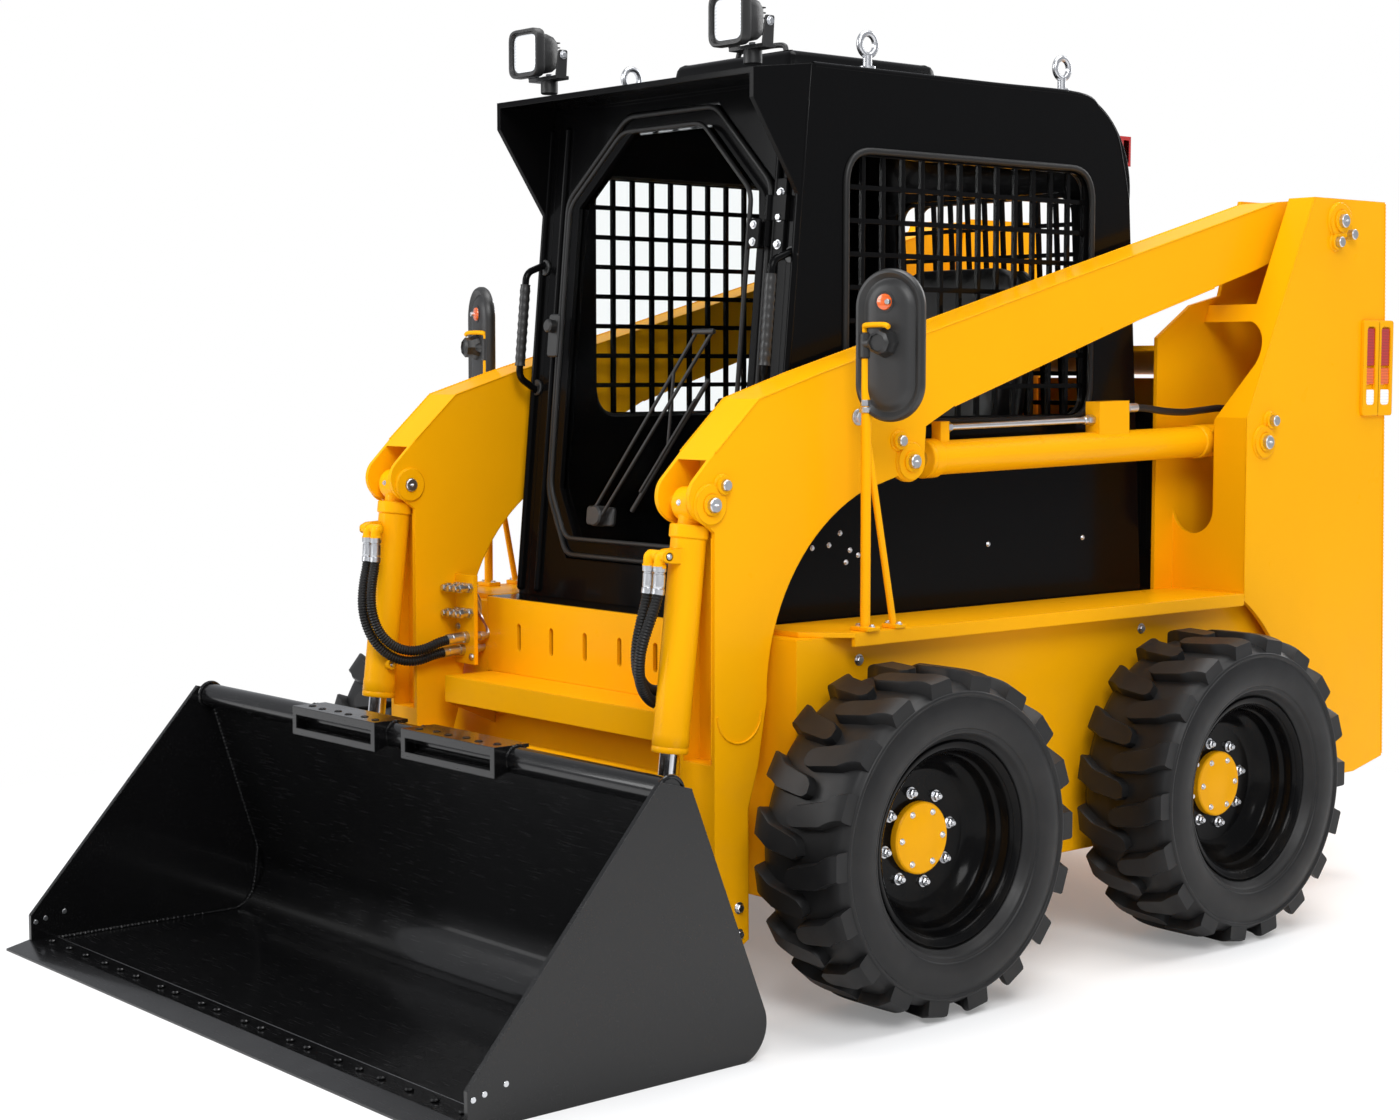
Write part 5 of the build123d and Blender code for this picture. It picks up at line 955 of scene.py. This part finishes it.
class LOADER_OT_cab(bpy.types.Operator):
    """Makes the seals, hinges, wiper, grips, bolts, trim and hatch of the cab"""

    bl_idname = "loader.cab"
    bl_label = "Cab fittings"

    def execute(self, context):
        seals = [hoop(door_line(0.046, 0.029), 0.006), hoop(door_line(0.004, 0.004), 0.007)]
        piece("door_seals", seals, "hose_rubber", "front_door")
        wiper = [rod(front(-0.150, 1.062, 0.046), front(0.205, 1.512, 0.044), 0.0045),
                 rod(front(-0.112, 1.056, 0.046), front(0.262, 1.512, 0.044), 0.0045),
                 rod(front(0.196, 1.512, 0.047), front(0.272, 1.512, 0.047), 0.0065),
                 rod(front(-0.131, 1.058, 0.020), front(-0.131, 1.058, 0.056), 0.026, 28, 0.004),
                 front_plate((0.110, 0.048, 0.012), 0.024, 0.036, 0.003, -0.131, 1.058),
                 rod(front(-0.016, 1.075, 0.026), front(0.240, 1.400, 0.026), 0.006),
                 rod(front(0.020, 1.124, 0.034), front(0.205, 1.352, 0.034), 0.004),
                 rod(front(0.110, 1.236, 0.030), front(0.132, 1.418, 0.046), 0.004)]
        piece("wiper", wiper, "black_plastic", "front_door")
        latch = [rod(front(-0.372, 1.533, 0.028), front(-0.372, 1.533, 0.062), 0.017, 28, 0.004),
                 front_plate((0.044, 0.110, 0.010), 0.028, 0.040, 0.003, -0.372, 1.51)]
        piece("door_latch", latch, "black_plastic", "front_door")
        hinge_x, hinge_heights = 0.374, (1.24, 1.74)
        straps = [front_plate((0.042, 0.070, 0.006), 0.029, 0.037, 0.002, hinge_x, z) for z in hinge_heights]
        piece("door_hinge_straps", straps, "black_paint", "front_door")
        screws = [front(hinge_x, z + step, 0.037) for z in hinge_heights for step in (-0.02, 0.02)]
        piece("door_hinge_bolts", copies(bolt(0.0075, 0.006), screws, FRONT_BASIS[2]), "zinc_steel", "front_door")
        window = rounded([(0.480, 1.300), (0.480, 1.940), (-0.400, 1.940), (-0.400, 1.300)], 0.085, 10)
        rubbers = [hoop(side_line(sign * x, window), 0.0085)
                   for sign in (1, -1) for x in (CAB_FACE + 0.001, CAB_FACE - 0.026)]
        rear = rounded([(0.330, 1.25), (0.330, 1.90), (-0.330, 1.90), (-0.330, 1.25)], 0.06, 8)
        rubbers.append(hoop(np.array([at(x, 0.6915, z) for x, z in rear]), 0.008))
        piece("window_rubbers", rubbers, "hose_rubber", "chassis")
        spots = [(-0.504, 1.010), (-0.450, 1.014), (-0.414, 1.041), (-0.381, 0.999), (-0.354, 0.986),
                 (-0.394, 0.971), (0.10, 0.99), (0.46, 0.99)]
        leaf_x = 0.432
        leaf_bolts = [front(leaf_x, z, 0.010) for z in (1.835, 1.778, 1.715, 1.30, 1.24, 1.18)]
        bolts = [mirrored(copies(bolt(0.005, 0.004), side_line(CAB_FACE, spots), (1, 0, 0))),
                 copies(bolt(0.0085, 0.008), leaf_bolts, FRONT_BASIS[2])]
        piece("cab_bolts", bolts, "zinc_steel", "chassis")
        rails = [tube([front(sign * x, z, 0.003) for z in (0.850, 0.856, 1.0, 1.4, 1.9, 2.044, 2.050)],
                      (0.004, *(0.009,) * 5, 0.004), 16) for sign in (-1, 1) for x in (0.412, 0.487)]
        rails += [front_plate((0.036, 0.190, 0.008), -0.001, 0.010, 0.002, leaf_x, z) for z in (1.775, 1.24)]
        piece("cab_front_rails", rails, "black_paint", "chassis")
        handle_x = 0.475
        feet = [front(sign * handle_x, z) for sign in (-1, 1) for z in (1.379, 1.691)]
        grips = [copies(plate(ring_points(0.021, 28), -0.001, 0.007, 0.002), feet, FRONT_BASIS[2])]
        ripple = 0.0132 + 0.0008 * np.cos(np.arange(40) * np.pi / 2)
        grips += [tube([front(sign * handle_x, z, 0.062) for z in np.linspace(1.43, 1.64, 40)], ripple, 16)
                  for sign in (1, -1)]
        piece("grab_handle_grips", grips, "black_plastic", "chassis")
        edge = smooth_line([(-0.50, 2.126), (0.10, 2.126), (0.43, 2.126), (0.512, 2.094), (0.574, 2.040),
                            (0.604, 1.96), (0.627, 1.87)])
        trim = [tube(side_line(x, edge), 0.009, 14) for x in (-0.487, 0.487)]
        taper = 0.006 * np.sin(np.linspace(0.15, np.pi - 0.15, 12))
        trim += [tube([at(x, y, 2.130) for y in np.linspace(0.25, 0.42, 12)], taper, 10)
                 for x in np.linspace(-0.34, 0.34, 6)]
        piece("roof_trim", trim, "black_paint", "chassis")
        lid = box_outline(0.500, 0.567, 0.05)
        cover = stack([(inset(lid, amount), height) for amount, height in (
            (0.0, 2.130), (0.0, 2.146), (0.003, 2.149), (0.016, 2.150), (0.022, 2.156), (0.030, 2.192),
            (0.037, 2.202), (0.052, 2.207))])
        made = piece("roof_hatch_cover", turned(cover, np.eye(3), at(0, -0.0705, 0)), "black_paint", "chassis")
        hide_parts("roof_hatch")
        seal = rounded([(0.256, -0.360), (0.256, 0.219), (-0.256, 0.219), (-0.256, -0.360)], 0.04, 8)
        piece("hatch_seal", hoop(np.array([at(x, y, 2.134) for x, y in seal]), 0.008), "hose_rubber", "chassis")
        grip = smooth_line([at(x, -0.22, z) for x, z in (
            (-0.09, 2.203), (-0.09, 2.225), (-0.075, 2.238), (0.0, 2.240), (0.075, 2.238), (0.09, 2.225),
            (0.09, 2.203))])
        piece("hatch_grip", tube(grip, 0.007, 14), "black_plastic", "chassis")
        return {"FINISHED"}


def lens_block(outline, low, high, shoulder, crown):
    """Lamp lens: an upright block from low to high, drawn in to its shoulder and by the crown at the top."""
    return stack([(outline, low), (outline, high), (inset(outline, 0.003), shoulder),
                  (inset(outline, crown), 0.0235)])


class LOADER_OT_lamps(bpy.types.Operator):
    """Makes the work lamps, mirrors, tail lamps and warning lamp"""

    bl_idname = "loader.lamps"
    bl_label = "Lamps and mirrors"

    def execute(self, context):
        self.work_lamps()
        self.mirrors()
        self.tail_lamps()
        return {"FINISHED"}

    def work_lamps(self):
        shells, lenses, feet, bolts = [], [], [], []
        for sign in (1, -1):
            lamp_x, foot_y = sign * 0.391, -0.600
            middle = at(lamp_x, -0.640, 2.225)
            body = [(box_outline(size, size, radius), height) for size, radius, height in (
                (0.050, 0.018, -0.044), (0.074, 0.020, -0.040), (0.090, 0.022, -0.026), (0.099, 0.022, -0.006),
                (0.101, 0.022, 0.010), (0.101, 0.022, 0.016), (0.120, 0.026, 0.018), (0.122, 0.026, 0.022),
                (0.122, 0.026, 0.040), (0.118, 0.026, 0.0445), (0.108, 0.026, 0.0445), (0.104, 0.026, 0.036))]
            fins = [plate(box_outline(0.070, 0.003, 0.001, (0, z)), -0.050, -0.020, 0.0008)
                    for z in np.linspace(-0.03, 0.03, 6)]
            shells += [on_face(stack(body), middle), on_face(merge(*fins), middle)]
            dome = [(box_outline(0.103 * s, 0.103 * s, 0.025 * s), 0.034 + 0.011 * (1 - s * s))
                    for s in np.sqrt(np.linspace(1, 0.0004, 9))]
            lenses.append(on_face(stack([(dome[0][0], 0.026)] + dome), middle))
            ear = rounded([(-0.024, 2.168), (0.010, 2.168), (0.014, 2.235), (-0.014, 2.235)], 0.006)
            for side in (-0.058, 0.058):
                feet.append(on_side(plate(ear, -0.002, 0.002, 0.0006), lamp_x + side, foot_y))
                bolts.append(copies(bolt(0.008, 0.006), [at(lamp_x + side * 1.034, foot_y, 2.222)],
                                    (np.sign(side), 0, 0)))
            feet.append(on_face(plate(box_outline(0.120, 0.010, 0.003), -0.020, 0.020, 0.001),
                                at(lamp_x, -0.602, 2.166)))
            feet.append(rod(at(lamp_x, foot_y, 2.128), at(lamp_x, foot_y, 2.172), 0.022, 24, 0.003))
            bolts.append(turned(bolt(0.009, 0.008), np.eye(3), at(lamp_x, foot_y, 2.171)))
        made = piece("work_lamp_shells", shells + feet, "black_plastic", "chassis")
        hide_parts("work_lamps")
        piece("work_lamp_lenses", lenses, "white_lens", "chassis")
        piece("work_lamp_bolts", bolts, "zinc_steel", "chassis")

    def mirrors(self):
        shells, markers, plates, clips, screws, stalks = [], [], [], [], [], []
        full = oval(0.170, 0.340, 64)
        body = stack([(inset(full, amount), height) for amount, height in (
            (0.014, -0.014), (0.004, -0.012), (0.0, -0.006), (0.0, 0.004), (0.004, 0.0115), (0.010, 0.0125),
            (0.016, 0.008), (0.021, 0.004), (0.026, 0.005), (0.032, 0.0105), (0.042, 0.0135), (0.060, 0.0150))])
        knob = stack([(ring_points(radius, 8), height) for radius, height in (
            (0.034, 0.008), (0.034, 0.020), (0.030, 0.030), (0.027, 0.036), (0.027, 0.050), (0.020, 0.056),
            (0.0195, 0.052), (0.016, 0.052))])
        lens_dome = stack([(ring_points(0.0185 * share, 32), height) for share, height in (
            (1, 0.010), (1, 0.019), (0.9, 0.0225), (0.6, 0.024), (0.1, 0.0245))])
        bezel = frame_ring(ring_points(0.0235, 32), ring_points(0.018, 32), 0.010, 0.0185)
        for sign in (1, -1):
            yaw = sign * 0.30
            basis = np.array(((math.cos(yaw), math.sin(yaw), 0), (0, 0, 1), (math.sin(yaw), -math.cos(yaw), 0)))
            head = at(sign * 0.785, -0.540, 1.480)
            lamp = head + (-sign * 0.008, 0, 0.096)
            ball = head + (-sign * 0.006, 0, 0.006)
            post = at(sign * 0.730, -0.560, 0)
            clip_end = ball + basis[2] * 0.034
            shells += [turned(body, basis, head), turned(bezel, basis, lamp), turned(knob, basis, ball),
                       rod(post + (0, 0, 1.451), post + (0, 0, 1.509), 0.0165, 24, 0.003),
                       rod(post + (0, -0.004, 1.484), ball + basis[2] * 0.026, 0.013, 20)]
            plates.append(turned(plate(inset(full, 0.012), -0.0165, -0.011, 0.0008), basis, head))
            markers.append(turned(lens_dome, basis, lamp))
            clips.append(tube(smooth_line([
                post + (0, -0.004, 1.500), post + (0, -0.006, 1.519), post + (sign * 0.010, -0.010, 1.525),
                clip_end + (sign * 0.008, 0, 0.039), clip_end + (sign * 0.022, 0, 0.034)]), 0.0062, 10))
            screw = plate(ring_points(0.0062, 16), 0.018, 0.0275, 0.001)
            screws += [turned(screw, basis, lamp + (sign * 0.013, 0, 0)),
                       rod(post + (0, 0, 1.330), post + (0, 0, 1.343), 0.0158, 24),
                       rod(post + (0, 0, 1.345), post + (0, 0, 1.359), 0.0148, 6)]
            stalks += [rod(post + (0, 0, 0.842), post + (0, 0, 1.503), 0.0115, 24),
                       rod(post + (0, 0.090, 0.845), post + (0, 0.004, 1.268), 0.008, 18)]
            for back, half in ((0.0, 0.030), (0.090, 0.024)):
                foot = plate(box_outline(2 * half, 1.3 * half, 0.004), 0.840, 0.850, 0.001)
                stalks.append(turned(foot, np.eye(3), post + (0, back, 0)))
                places = [post + (s * 0.72 * half, back, 0.850) for s in (-1, 1)]
                screws.append(copies(bolt(0.006, 0.005), places, (0, 0, 1)))
        made = piece("mirror_shells", shells, "black_plastic", "chassis")
        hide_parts("mirror_heads")
        made = piece("mirror_posts", stalks, "yellow_paint", "chassis")
        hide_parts("mirror_stalks")
        piece("mirror_markers", markers, "amber_lens", "chassis")
        piece("mirror_plates", plates, "rod_chrome", "chassis")
        piece("mirror_clips", clips, "yellow_paint", "chassis")
        piece("mirror_screws", screws, "zinc_steel", "chassis")

    def tail_lamps(self):
        guards, backs, parts = [], [], {"red_lens": [], "amber_lens": [], "white_lens": []}
        middle_z = 1.430
        base = box_outline(0.090, 0.240, 0.012)
        bar = box_outline(0.080, 0.009, 0.002, (0, -0.052))
        windows = ((1.351, 0.074, 0.040), (1.420, 0.068, 0.044))
        for sign in (1, -1):
            side = sign * TOWER_FACE
            centre = at(sign * 0.705, 1.4265, middle_z)
            guards += [on_face(frame_ring(base, inset(base, 0.006), -0.002, 0.0265), centre, 1),
                       on_face(plate(bar, 0.0, 0.0262, 0.001), centre, 1)]
            backs.append(on_face(plate(inset(base, 0.004), -0.002, 0.004), centre, 1))
            for y, wide, hole in windows:
                cheek = box_outline(wide, 0.262, 0.010, (y, middle_z))
                slot = box_outline(hole, 0.214, 0.012, (y, middle_z + 0.006))
                guards.append(on_side(frame_ring(cheek, slot, 0.0, 0.009), side, sign=sign))
            for name, z, tall in (("red_lens", 0.058, 0.104), ("amber_lens", -0.022, 0.046),
                                  ("white_lens", -0.084, 0.050)):
                cell = box_outline(0.074, tall, 0.006, (0, z))
                parts[name].append(on_face(lens_block(cell, 0.003, 0.017, 0.0215, 0.012), centre, 1))
                for y, wide, hole in windows:
                    strip = box_outline(hole + 0.004, tall, 0.004, (y, middle_z + z))
                    parts[name].append(on_side(plate(strip, -0.001, 0.006, 0.002), side, sign=sign))
        made = piece("tail_lamp_guards", guards, "yellow_paint", "chassis")
        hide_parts("tail_lamps")
        piece("tail_lamp_backs", backs, "black_plastic", "chassis")
        for name, shapes in parts.items():
            piece(f"tail_{name}", shapes, name, "chassis")
        warning = lens_block(box_outline(0.058, 0.078, 0.010), -0.006, 0.016, 0.021, 0.010)
        piece("warning_lens", on_face(warning, at(0.420, 0.666, 2.001), 1), "red_lens", "chassis")


def swelled(name, shape, cap, body):
    """Seat pad: a block remeshed, blown up as cloth by inner pressure, its movement capped, then smoothed once."""
    obj = piece(name, shape, "seat_vinyl", body)
    scene = bpy.context.scene
    remesh = obj.modifiers.new("remesh", "REMESH")
    remesh.mode = "VOXEL"
    remesh.voxel_size = 0.006
    start = bpy.data.meshes.new_from_object(obj.evaluated_get(bpy.context.evaluated_depsgraph_get()))
    obj.modifiers.remove(remesh)
    probe = bpy.data.objects.new(f"{name}_cloth", start)
    scene.collection.objects.link(probe)
    cloth = probe.modifiers.new("cloth", "CLOTH")
    cloth.settings.use_pressure = True
    cloth.settings.uniform_pressure_force = 4.0
    cloth.settings.effector_weights.gravity = 0.0
    for step in range(1, 21):
        scene.frame_set(step)
    result = bpy.data.meshes.new_from_object(probe.evaluated_get(bpy.context.evaluated_depsgraph_get()))
    scene.frame_set(1)
    before, after = np.empty(3 * len(start.vertices)), np.empty(3 * len(start.vertices))
    start.vertices.foreach_get("co", before)
    result.vertices.foreach_get("co", after)
    move = (after - before).reshape(-1, 3)
    far = np.linalg.norm(move, axis=1, keepdims=True)
    move *= np.minimum(1.0, cap / np.maximum(far, 1e-9))
    start.vertices.foreach_set("co", (before.reshape(-1, 3) + move).ravel())
    bpy.data.objects.remove(probe)
    bpy.data.meshes.remove(result)
    start.polygons.foreach_set("use_smooth", np.ones(len(start.polygons), bool))
    start.materials.clear()
    start.materials.append(MATERIALS["seat_vinyl"])
    obj.data = start
    smooth = obj.modifiers.new("smooth", "SUBSURF")
    smooth.levels = smooth.render_levels = 1
    return obj


class LOADER_OT_seat(bpy.types.Operator):
    """Makes the padded seat, its pan and piping, and the control levers"""

    bl_idname = "loader.seat"
    bl_label = "Seat and levers"

    def execute(self, context):
        base_block = cushion_block((0.456, 0.440, 0.096), at(0, 0.295, 1.146), 0.03)
        back_block = cushion_block((0.436, 0.090, 0.496), at(0, 0.498, 1.4656), -0.14)
        base = swelled("seat_cushion", base_block, 0.010, "chassis")
        back = swelled("seat_back", back_block, 0.010, "chassis")
        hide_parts("seat")
        pan = cushion_block((0.470, 0.470, 0.036), at(0, 0.300, 1.1085), 0.0, 8.0)
        rails = [rod(at(x, 0.08, 1.082), at(x, 0.52, 1.082), 0.012) for x in (-0.15, 0.15)]
        shell = cushion_block((0.450, 0.030, 0.480), at(0, 0.540, 1.460), -0.14, 8.0)
        piece("seat_pan", merge(pan, shell, *rails), "black_plastic", "chassis")
        line = ring_points(1.0, 96, power=6.0) * (0.231, 0.223)
        piping = hoop(np.array([at(x, 0.295 + y, 1.170 + 0.03 * y) for x, y in line]), 0.004, 8)
        piece("seat_piping", piping, "seat_vinyl", "chassis")
        sticks = []
        lean = np.array((0, -math.sin(0.25), math.cos(0.25)))
        for x in (-0.290, 0.290):
            foot = at(x, -0.020, 1.008)
            t = np.linspace(0, 1, 25)
            bellows = 0.036 - 0.020 * t + 0.0035 * np.cos(t * 6 * 2 * np.pi)
            box = stack([(box_outline(0.080, 0.100, 0.012), -0.168), (box_outline(0.070, 0.090, 0.012), -0.02),
                         (box_outline(0.060, 0.080, 0.012), 0.004)])
            s = np.linspace(0, 1, 20)
            swell = 0.0175 + 0.0045 * np.sin(s * 2.6 + 0.2) + 0.0014 * np.sin(s * 4 * 2 * np.pi)
            swell[[0, -1]] = 0.012
            sticks += [tube([foot + lean * 0.09 * k for k in t], bellows, 28), turned(box, np.eye(3), foot),
                       rod(foot, foot + lean * 0.24, 0.011),
                       tube([foot + lean * (0.232 + 0.112 * k) for k in s], swell, 24),
                       rod(foot + lean * 0.340, foot + lean * 0.351, 0.008)]
        made = piece("lever_grips", sticks, "black_plastic", "chassis")
        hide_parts("control_levers")
        return {"FINISHED"}


# Rear and lower frame


class LOADER_OT_body_details(bpy.types.Operator):
    """Makes the louvre lips, handle, radiator, ribs and bolts of the rear and the lower frame"""

    bl_idname = "loader.body_details"
    bl_label = "Rear and frame details"

    def execute(self, context):
        door_face = 1.430
        lips = [tube([at(x, door_face + 0.003, z) for x in np.linspace(-0.262, 0.262, 12)], 0.0065, 12)
                for z in 0.716 + 0.070 * np.arange(8)]
        bead = rounded([(0.43, 0.53), (0.43, 0.64), (-0.43, 0.64), (-0.43, 0.53)], 0.02)
        lips.append(hoop(np.array([at(x, door_face + 0.0005, z) for x, z in bead]), 0.004, 8))
        piece("louvre_lips", lips, "yellow_paint", "rear_door")
        grip = [(1.438, 0.978), (1.458, 0.972), (1.466, 0.950), (1.466, 0.910), (1.458, 0.888), (1.438, 0.882)]
        foot = plate(box_outline(0.060, 0.130, 0.012), -0.001, 0.010, 0.002)
        handle = [on_face(foot, at(0.420, door_face, 0.930), 1),
                  tube(smooth_line(side_line(0.420, grip)), 0.008, 14)]
        piece("rear_door_handle", handle, "black_plastic", "rear_door")
        corners = [at(x, door_face, z) for x in (-0.46, 0.46) for z in (0.51, 1.36)]
        piece("rear_door_bolts", copies(bolt(0.008, 0.007), corners, (0, 1, 0)), "zinc_steel", "rear_door")
        core_y = 1.374
        fins = [[at(x, core_y + 0.004 * math.sin(x * 520), z) for z in (0.64, 1.28)]
                for x in np.linspace(-0.30, 0.30, 481)]
        piece("radiator_fins", grid(np.array(fins)), "dark_iron", "chassis")
        core = frame_ring(box_outline(0.66, 0.70, 0.02), box_outline(0.58, 0.62, 0.01), -0.020, 0.014)
        piece("radiator_frame", on_face(core, at(0, core_y, 0.96), 1), "black_paint", "chassis")
        hood_front, hood_rear = (0.735, 1.490), (1.413, 1.425)
        slope = (hood_rear[1] - hood_front[1]) / (hood_rear[0] - hood_front[0])
        rib = [(y, hood_front[1] + slope * (y - hood_front[0])) for y in np.linspace(0.90, 1.34, 16)]
        taper = 0.007 * np.sin(np.linspace(0.2, np.pi - 0.2, 16))
        ribs = [tube(side_line(x, rib), taper, 10) for x in np.linspace(-0.32, 0.32, 9)]
        piece("hood_ribs", ribs, "black_paint", "chassis")
        rows = side_line(0.700, [(y, z) for y in (-0.55, 0.45) for z in (0.77, 0.30)])
        panel = [at(x, -0.742, z) for x in (-0.40, 0.40) for z in (0.30, 0.56)]
        bolts = [mirrored(copies(bolt(0.010, 0.008), rows, (1, 0, 0))), copies(bolt(0.009, 0.007), panel, (0, -1, 0))]
        piece("frame_bolts", bolts, "zinc_steel", "chassis")
        return {"FINISHED"}


# Stage

# Each light: its name, place, aim, edge length and power.
LIGHTS = (("key", (6.0, -4.5, 6.5), (0, -0.3, 0.8), 4.0, 480.0),
          ("front", (-4.0, -7.0, 4.0), (0, -0.5, 0.7), 4.5, 310.0),
          ("top", (0.5, 1.0, 7.5), (0, 0, 1), 5.0, 400.0),
          ("rear", (0.5, 7.5, 4.5), (0, 0.5, 1), 4.0, 230.0))
# The camera stands where the photograph was taken from.
CAMERA_PLACE = (4.519, -4.280, 1.429)
CAMERA_DIP, CAMERA_TURN = math.radians(4.547), math.radians(49.495)
CAMERA_LENS, CAMERA_SHIFT = 60.76, (-0.0015, -0.0026)


class LOADER_OT_stage(bpy.types.Operator):
    """Makes the floor, the light and the camera"""

    bl_idname = "loader.stage"
    bl_label = "Stage"

    def execute(self, context):
        scene = context.scene
        scene.view_settings.view_transform = "Standard"
        colour = tuple(scene.loader_colours.backdrop)
        f = Finish("floor_white", Base_Color=colour, Roughness=0.6, Specular_IOR_Level=0.2)
        far = f.node("ShaderNodeVectorMath", {"operation": "LENGTH"}, {0: f.place()}, out="Value")
        seen = f.node("ShaderNodeLightPath", out="Is Camera Ray")
        white = f.node("ShaderNodeEmission", None, {"Color": (1.0, 1.0, 1.0, 1.0)})
        share = (f.steps(far, 1.4, 3.2) * 0.8 + 0.2) * seen
        both = f.node("ShaderNodeMixShader", None, {0: share, 1: Value(f, f.shader.outputs[0]), 2: white})
        f.links.new(both.socket, f.nodes["Material Output"].inputs[0])
        mesh = bpy.data.meshes.new("floor")
        mesh.from_pydata([(-30, -30, 0), (30, -30, 0), (30, 30, 0), (-30, 30, 0)], [], [(0, 1, 2, 3)])
        mesh.materials.append(f.material)
        floor = bpy.data.objects.new("floor", mesh)
        scene.collection.objects.link(floor)
        world = bpy.data.worlds.new("studio")
        world.use_nodes = True
        scene.world = world
        sky = Nodes(world.node_tree)
        light = sky.nodes["Background"]
        light.inputs["Color"].default_value = (0.93, 0.95, 1.0, 1.0)
        light.inputs["Strength"].default_value = 0.5
        white = sky.node("ShaderNodeBackground", None, {"Color": (1, 1, 1, 1)})
        seen = sky.node("ShaderNodeMath", {"operation": "MAXIMUM"}, {
            0: sky.node("ShaderNodeLightPath", out="Is Camera Ray"),
            1: sky.node("ShaderNodeLightPath", out="Is Transmission Ray")})
        both = sky.node("ShaderNodeMixShader", None, {0: seen, 1: Value(sky, light.outputs[0]), 2: white})
        sky.links.new(both.socket, sky.nodes["World Output"].inputs[0])
        for name, place, aim, size, power in LIGHTS:
            lamp = bpy.data.lights.new(name, "AREA")
            lamp.shape = "SQUARE"
            lamp.size = size
            lamp.energy = power
            obj = bpy.data.objects.new(name, lamp)
            turn = np.eye(4)
            turn[:3, :3] = facing(np.subtract(place, aim)).T
            turn[:3, 3] = place
            obj.matrix_world = Matrix(turn.tolist())
            scene.collection.objects.link(obj)
        camera = bpy.data.cameras.new("camera")
        camera.sensor_width = 36.0
        camera.lens = CAMERA_LENS
        camera.shift_x, camera.shift_y = CAMERA_SHIFT
        view = bpy.data.objects.new("camera", camera)
        view.location = at(*CAMERA_PLACE)
        view.rotation_euler = (math.pi / 2 - CAMERA_DIP, 0, CAMERA_TURN)
        scene.collection.objects.link(view)
        scene.camera = view
        return {"FINISHED"}


class LOADER_PT_panel(bpy.types.Panel):
    """Lists the steps that dress the loader"""

    bl_idname = "LOADER_PT_panel"
    bl_label = "Skid steer loader"
    bl_space_type = "VIEW_3D"
    bl_region_type = "UI"
    bl_category = "Loader"

    def draw(self, context):
        for operator in OPERATORS:
            self.layout.operator(operator.bl_idname)
        for group in (context.scene.loader_sizes, context.scene.loader_colours):
            for key in group.__annotations__:
                self.layout.prop(group, key)


OPERATORS = (LOADER_OT_finishes, LOADER_OT_wheels, LOADER_OT_arm_fittings, LOADER_OT_cylinders, LOADER_OT_hoses,
             LOADER_OT_bulkhead, LOADER_OT_bucket, LOADER_OT_cab, LOADER_OT_lamps, LOADER_OT_seat,
             LOADER_OT_body_details, LOADER_OT_stage)
CLASSES = (LoaderSizes, LoaderColours, *OPERATORS, LOADER_PT_panel)


def register():
    for made in CLASSES:
        bpy.utils.register_class(made)
    bpy.types.Scene.loader_sizes = bpy.props.PointerProperty(type=LoaderSizes)
    bpy.types.Scene.loader_colours = bpy.props.PointerProperty(type=LoaderColours)


def unregister():
    del bpy.types.Scene.loader_sizes
    del bpy.types.Scene.loader_colours
    for made in reversed(CLASSES):
        bpy.utils.unregister_class(made)


def main():
    register()
    for operator in OPERATORS:
        group, step = operator.bl_idname.split(".")
        getattr(getattr(bpy.ops, group), step)()


if __name__ == "__main__":
    main()
